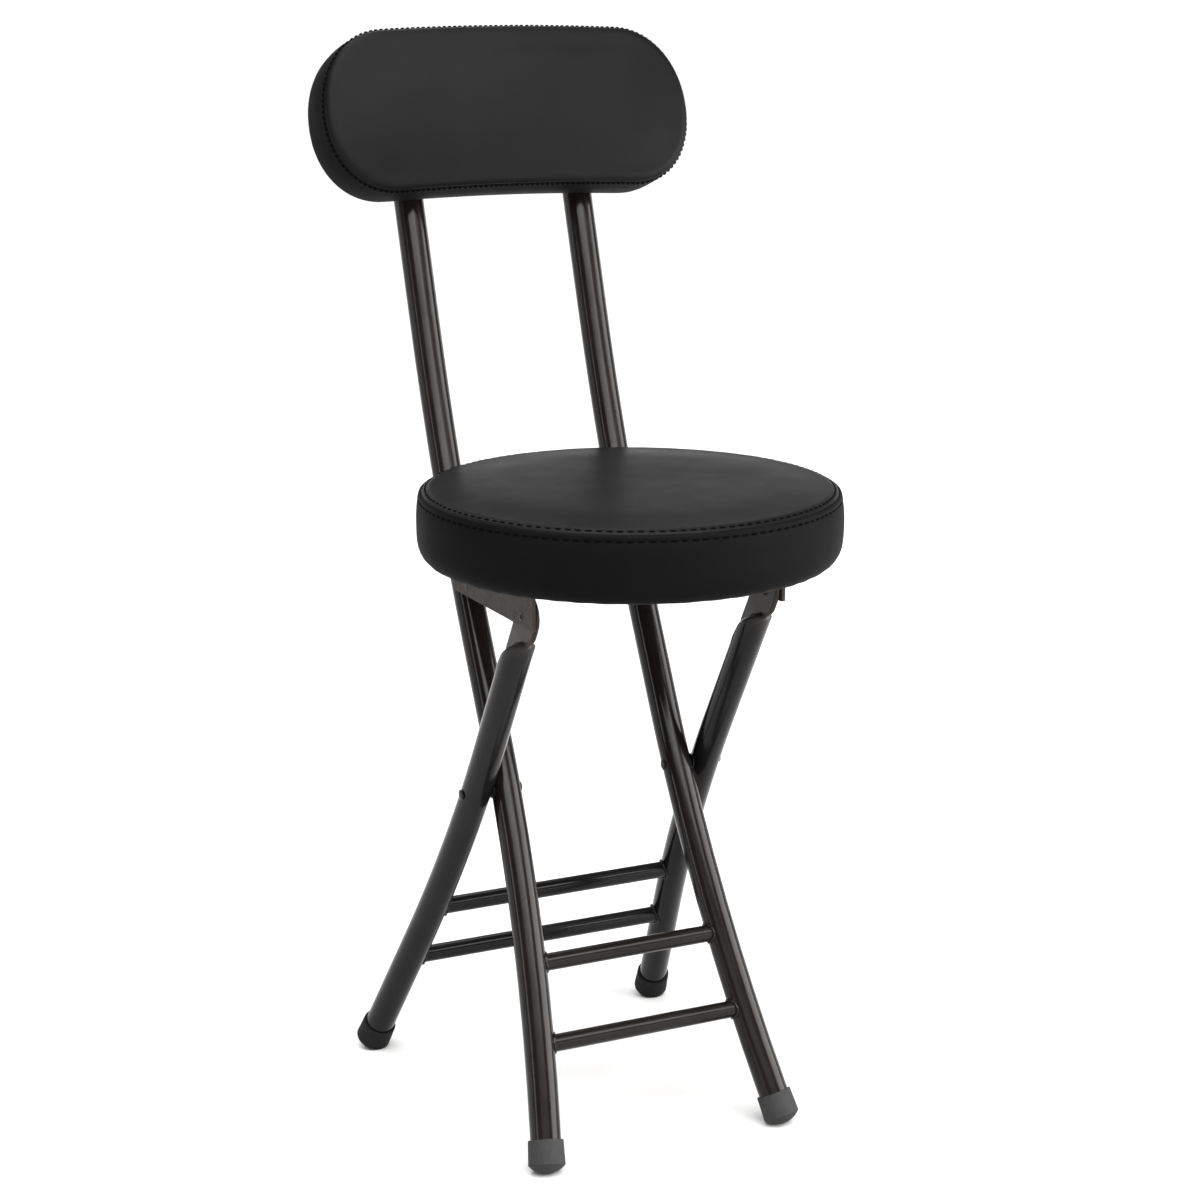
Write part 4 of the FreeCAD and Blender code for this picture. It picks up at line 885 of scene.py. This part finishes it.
for side, sx in (("left", 1.0), ("right", -1.0)):
    at, length = leg_line(sx)
    stops = [-BLADE_W * math.cos(math.radians(g)) for g in range(0, 90, 5)] + list(np.arange(0.0, 9.0, 1.5)) + list(np.arange(9.0, 70.0, 0.5))
    stops += list(np.arange(70.0, length - 17.0, 4.0)) + [length - 17.0]
    n = 120
    verts = []
    for run in stops:
        q, d = at(run)
        lift = np.array((sx, 0.0, 0.0)) - sx * d[0] * d
        lift /= np.linalg.norm(lift)
        behind = np.array((0.0, -d[2], d[1]))
        behind -= (behind @ lift) * lift + (behind @ d) * d
        behind /= np.linalg.norm(behind)
        for c, h in leg_section(run, n):
            verts.append((q + behind * c + lift * h) * MM)
    faces = rings_to_faces(len(stops), n)
    faces.append(tuple((len(stops) - 1) * n + k for k in range(n)))
    leg = tidy(add_mesh(side + "_rear_leg", verts, faces, leg_paint_painted_shade_and_light), 1e-6)
    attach(leg, "rear_legs")
    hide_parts(side + "_rear_leg_tube")


# ---------------------------------------------------------------- weld beads where the rungs meet the tubes
def tree_of(node):
    me = nodes[node].data
    return BVHTree.FromPolygons([v.co[:] for v in me.vertices], [p.vertices[:] for p in me.polygons])


def weld(name, y, z, tube, sign, mat, body):
    tree = tree_of(tube)
    pts = []
    for k in range(56):
        a = 2 * math.pi * k / 56
        start = Vector((0.0, y + 6.75 * MM * math.cos(a), z + 6.75 * MM * math.sin(a)))
        hit = tree.ray_cast(start, Vector((sign, 0, 0)))
        pts.append(hit[0] if hit[0] is not None else None)
    if any(q is None for q in pts):
        raise RuntimeError("weld misses its tube: " + name)
    p = np.array([tuple(q) for q in pts])
    p[:, 0] -= sign * 0.25 * MM
    rad = [(1.25 + 0.22 * math.cos(2 * math.pi * k * 14 / 56) + 0.18 * soft_noise(k * 0.21, y * 90, z * 70, 1.0, 12)) * MM for k in range(56)]
    verts, faces = closed_tube(p, rad, 8)
    o = tidy(add_mesh(name, verts, faces, mat), 1e-7)
    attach(o, body)
    return o


RUNGS = (
    ("front_lower", -85.62, 80.6, "upright_tube", front_paint, "front_frame_paint", "main_frame"),
    ("front_upper", -59.31, 132.0, "upright_tube", front_paint, "front_frame_paint", "main_frame"),
    ("rear_lower", 94.2, 89.6, "rear_leg_tube", shaded_rear_paint, "rear_frame_paint", "rear_legs"),
    ("rear_upper", 65.18, 138.0, "rear_leg_tube", shaded_rear_paint, "rear_frame_paint", "rear_legs"),
)
for rung, y, z, tube, mat, slot_name, body in RUNGS:
    for side, sign in (("left", 1.0), ("right", -1.0)):
        bead = weld(rung + "_weld_" + side, y * MM, z * MM, side + "_" + tube, sign, mat, body)

# ---------------------------------------------------------------- floor and light
bm = bmesh.new()
bmesh.ops.create_grid(bm, x_segments=8, y_segments=8, size=60.0)
me = bpy.data.meshes.new("floor")
bm.to_mesh(me)
bm.free()
floor = bpy.data.objects.new("floor", me)
floor.location = (0, 0, -0.0004)
scene.collection.objects.link(floor)
fm = Mat("floor_paper")
fm.colours(fm.noise(0.6, 2.0), (0.3, (0.54, 0.54, 0.54)), (0.7, (0.555, 0.555, 0.555)))
fm.set(Roughness=0.9, Specular_IOR_Level=0.1)
me.materials.append(fm.m)

# a pale backdrop all round, far behind the object
wm = Mat("backdrop_paper")
wm.colours(wm.noise(0.05, 2.0), (0.3, (0.80, 0.80, 0.80)), (0.7, (0.82, 0.82, 0.82)))
wm.set(Roughness=0.95, Emission_Color=(1.0, 1.0, 1.0, 1.0), Emission_Strength=0.97)
verts = [(24 * math.cos(2 * math.pi * j / 96), 24 * math.sin(2 * math.pi * j / 96), z) for z in (-0.3, 6.0, 14.0, 28.0) for j in range(96)]
backdrop = add_mesh("backdrop", verts, rings_to_faces(4, 96), wm.m)
backdrop.visible_diffuse = backdrop.visible_glossy = backdrop.visible_shadow = False
backdrop.visible_transmission = backdrop.visible_volume_scatter = False

world = bpy.data.worlds.new("studio")
scene.world = world
world.use_nodes = True
wt = world.node_tree
wt.nodes.clear()
w_out = wt.nodes.new("ShaderNodeOutputWorld")
w_bg = wt.nodes.new("ShaderNodeBackground")
w_co = wt.nodes.new("ShaderNodeTexCoord")
w_sep = wt.nodes.new("ShaderNodeSeparateXYZ")
w_ramp = wt.nodes.new("ShaderNodeValToRGB")
e = w_ramp.color_ramp.elements
e[0].position, e[0].color = 0.02, (0.9, 0.9, 0.9, 1)
e[1].position, e[1].color = 0.45, (0.07, 0.068, 0.066, 1)
mid_stop = e.new(0.10)
mid_stop.color = (0.20, 0.20, 0.20, 1)
high_stop = e.new(0.31)
high_stop.color = (0.115, 0.114, 0.113, 1)
wt.links.new(w_co.outputs["Generated"], w_sep.inputs[0])
wt.links.new(w_sep.outputs["Z"], w_ramp.inputs[0])
w_side = wt.nodes.new("ShaderNodeMapRange")
w_side.inputs["From Min"].default_value, w_side.inputs["From Max"].default_value = -0.35, 0.45
w_side.inputs["To Min"].default_value, w_side.inputs["To Max"].default_value = 0.5, 3.0
wt.links.new(w_sep.outputs["Y"], w_side.inputs["Value"])
wt.links.new(w_ramp.outputs[0], w_bg.inputs["Color"])
wt.links.new(w_side.outputs[0], w_bg.inputs["Strength"])
wt.links.new(w_bg.outputs[0], w_out.inputs[0])


def softbox(name, where, look, size, size_y, bright, tint=(1, 1, 1)):
    d = bpy.data.lights.new(name, "AREA")
    d.shape = "RECTANGLE"
    d.size, d.size_y = size, size_y
    d.energy = bright * math.pi * size * size_y
    d.color = tint
    o = bpy.data.objects.new(name, d)
    o.location = where
    o.rotation_mode = "QUATERNION"
    o.rotation_quaternion = (Vector(look) - Vector(where)).to_track_quat("-Z", "Y")
    o.visible_camera = False
    scene.collection.objects.link(o)
    return o


softbox("key_right", (2.05, -1.37, 0.85), (0, -0.02, 0.45), 2.1, 1.4, 10.5, (1.0, 0.985, 0.96))
softbox("front_right_high", (1.05, -2.20, 2.66), (0, 0, 0.6), 1.6, 1.2, 8.6, (1.0, 0.99, 0.97))
softbox("front_right_low", (1.05, -2.47, 0.62), (0, 0, 0.3), 1.6, 0.42, 4.4, (1.0, 0.99, 0.97))
softbox("front_high", (-1.0, -2.7, 2.28), (0, 0, 0.45), 3.2, 0.5, 11.5)
softbox("front_top", (-0.3, -2.0, 2.9), (0, 0, 0.5), 2.2, 1.2, 4.0)
softbox("front_low", (-1.0, -2.7, 1.02), (0, 0, 0.45), 3.2, 0.64, 1.8)
softbox("strip_left", (-2.5, -0.2, 0.50), (0, -0.05, 0.45), 0.16, 1.3, 12.0)
softbox("back_top", (0.2, 1.9, 2.5), (0, 0, 0.4), 2.0, 1.0, 4.0)
sun = bpy.data.lights.new("sky_fill", "SUN")
sun.energy = 6.0
sun.angle = math.radians(65)
sun_o = bpy.data.objects.new("sky_fill", sun)
sun_o.rotation_euler = (math.radians(14), math.radians(-10), 0)
scene.collection.objects.link(sun_o)

scene.view_settings.view_transform = "Standard"
scene.view_settings.look = "None"
scene.view_settings.exposure = 0.0
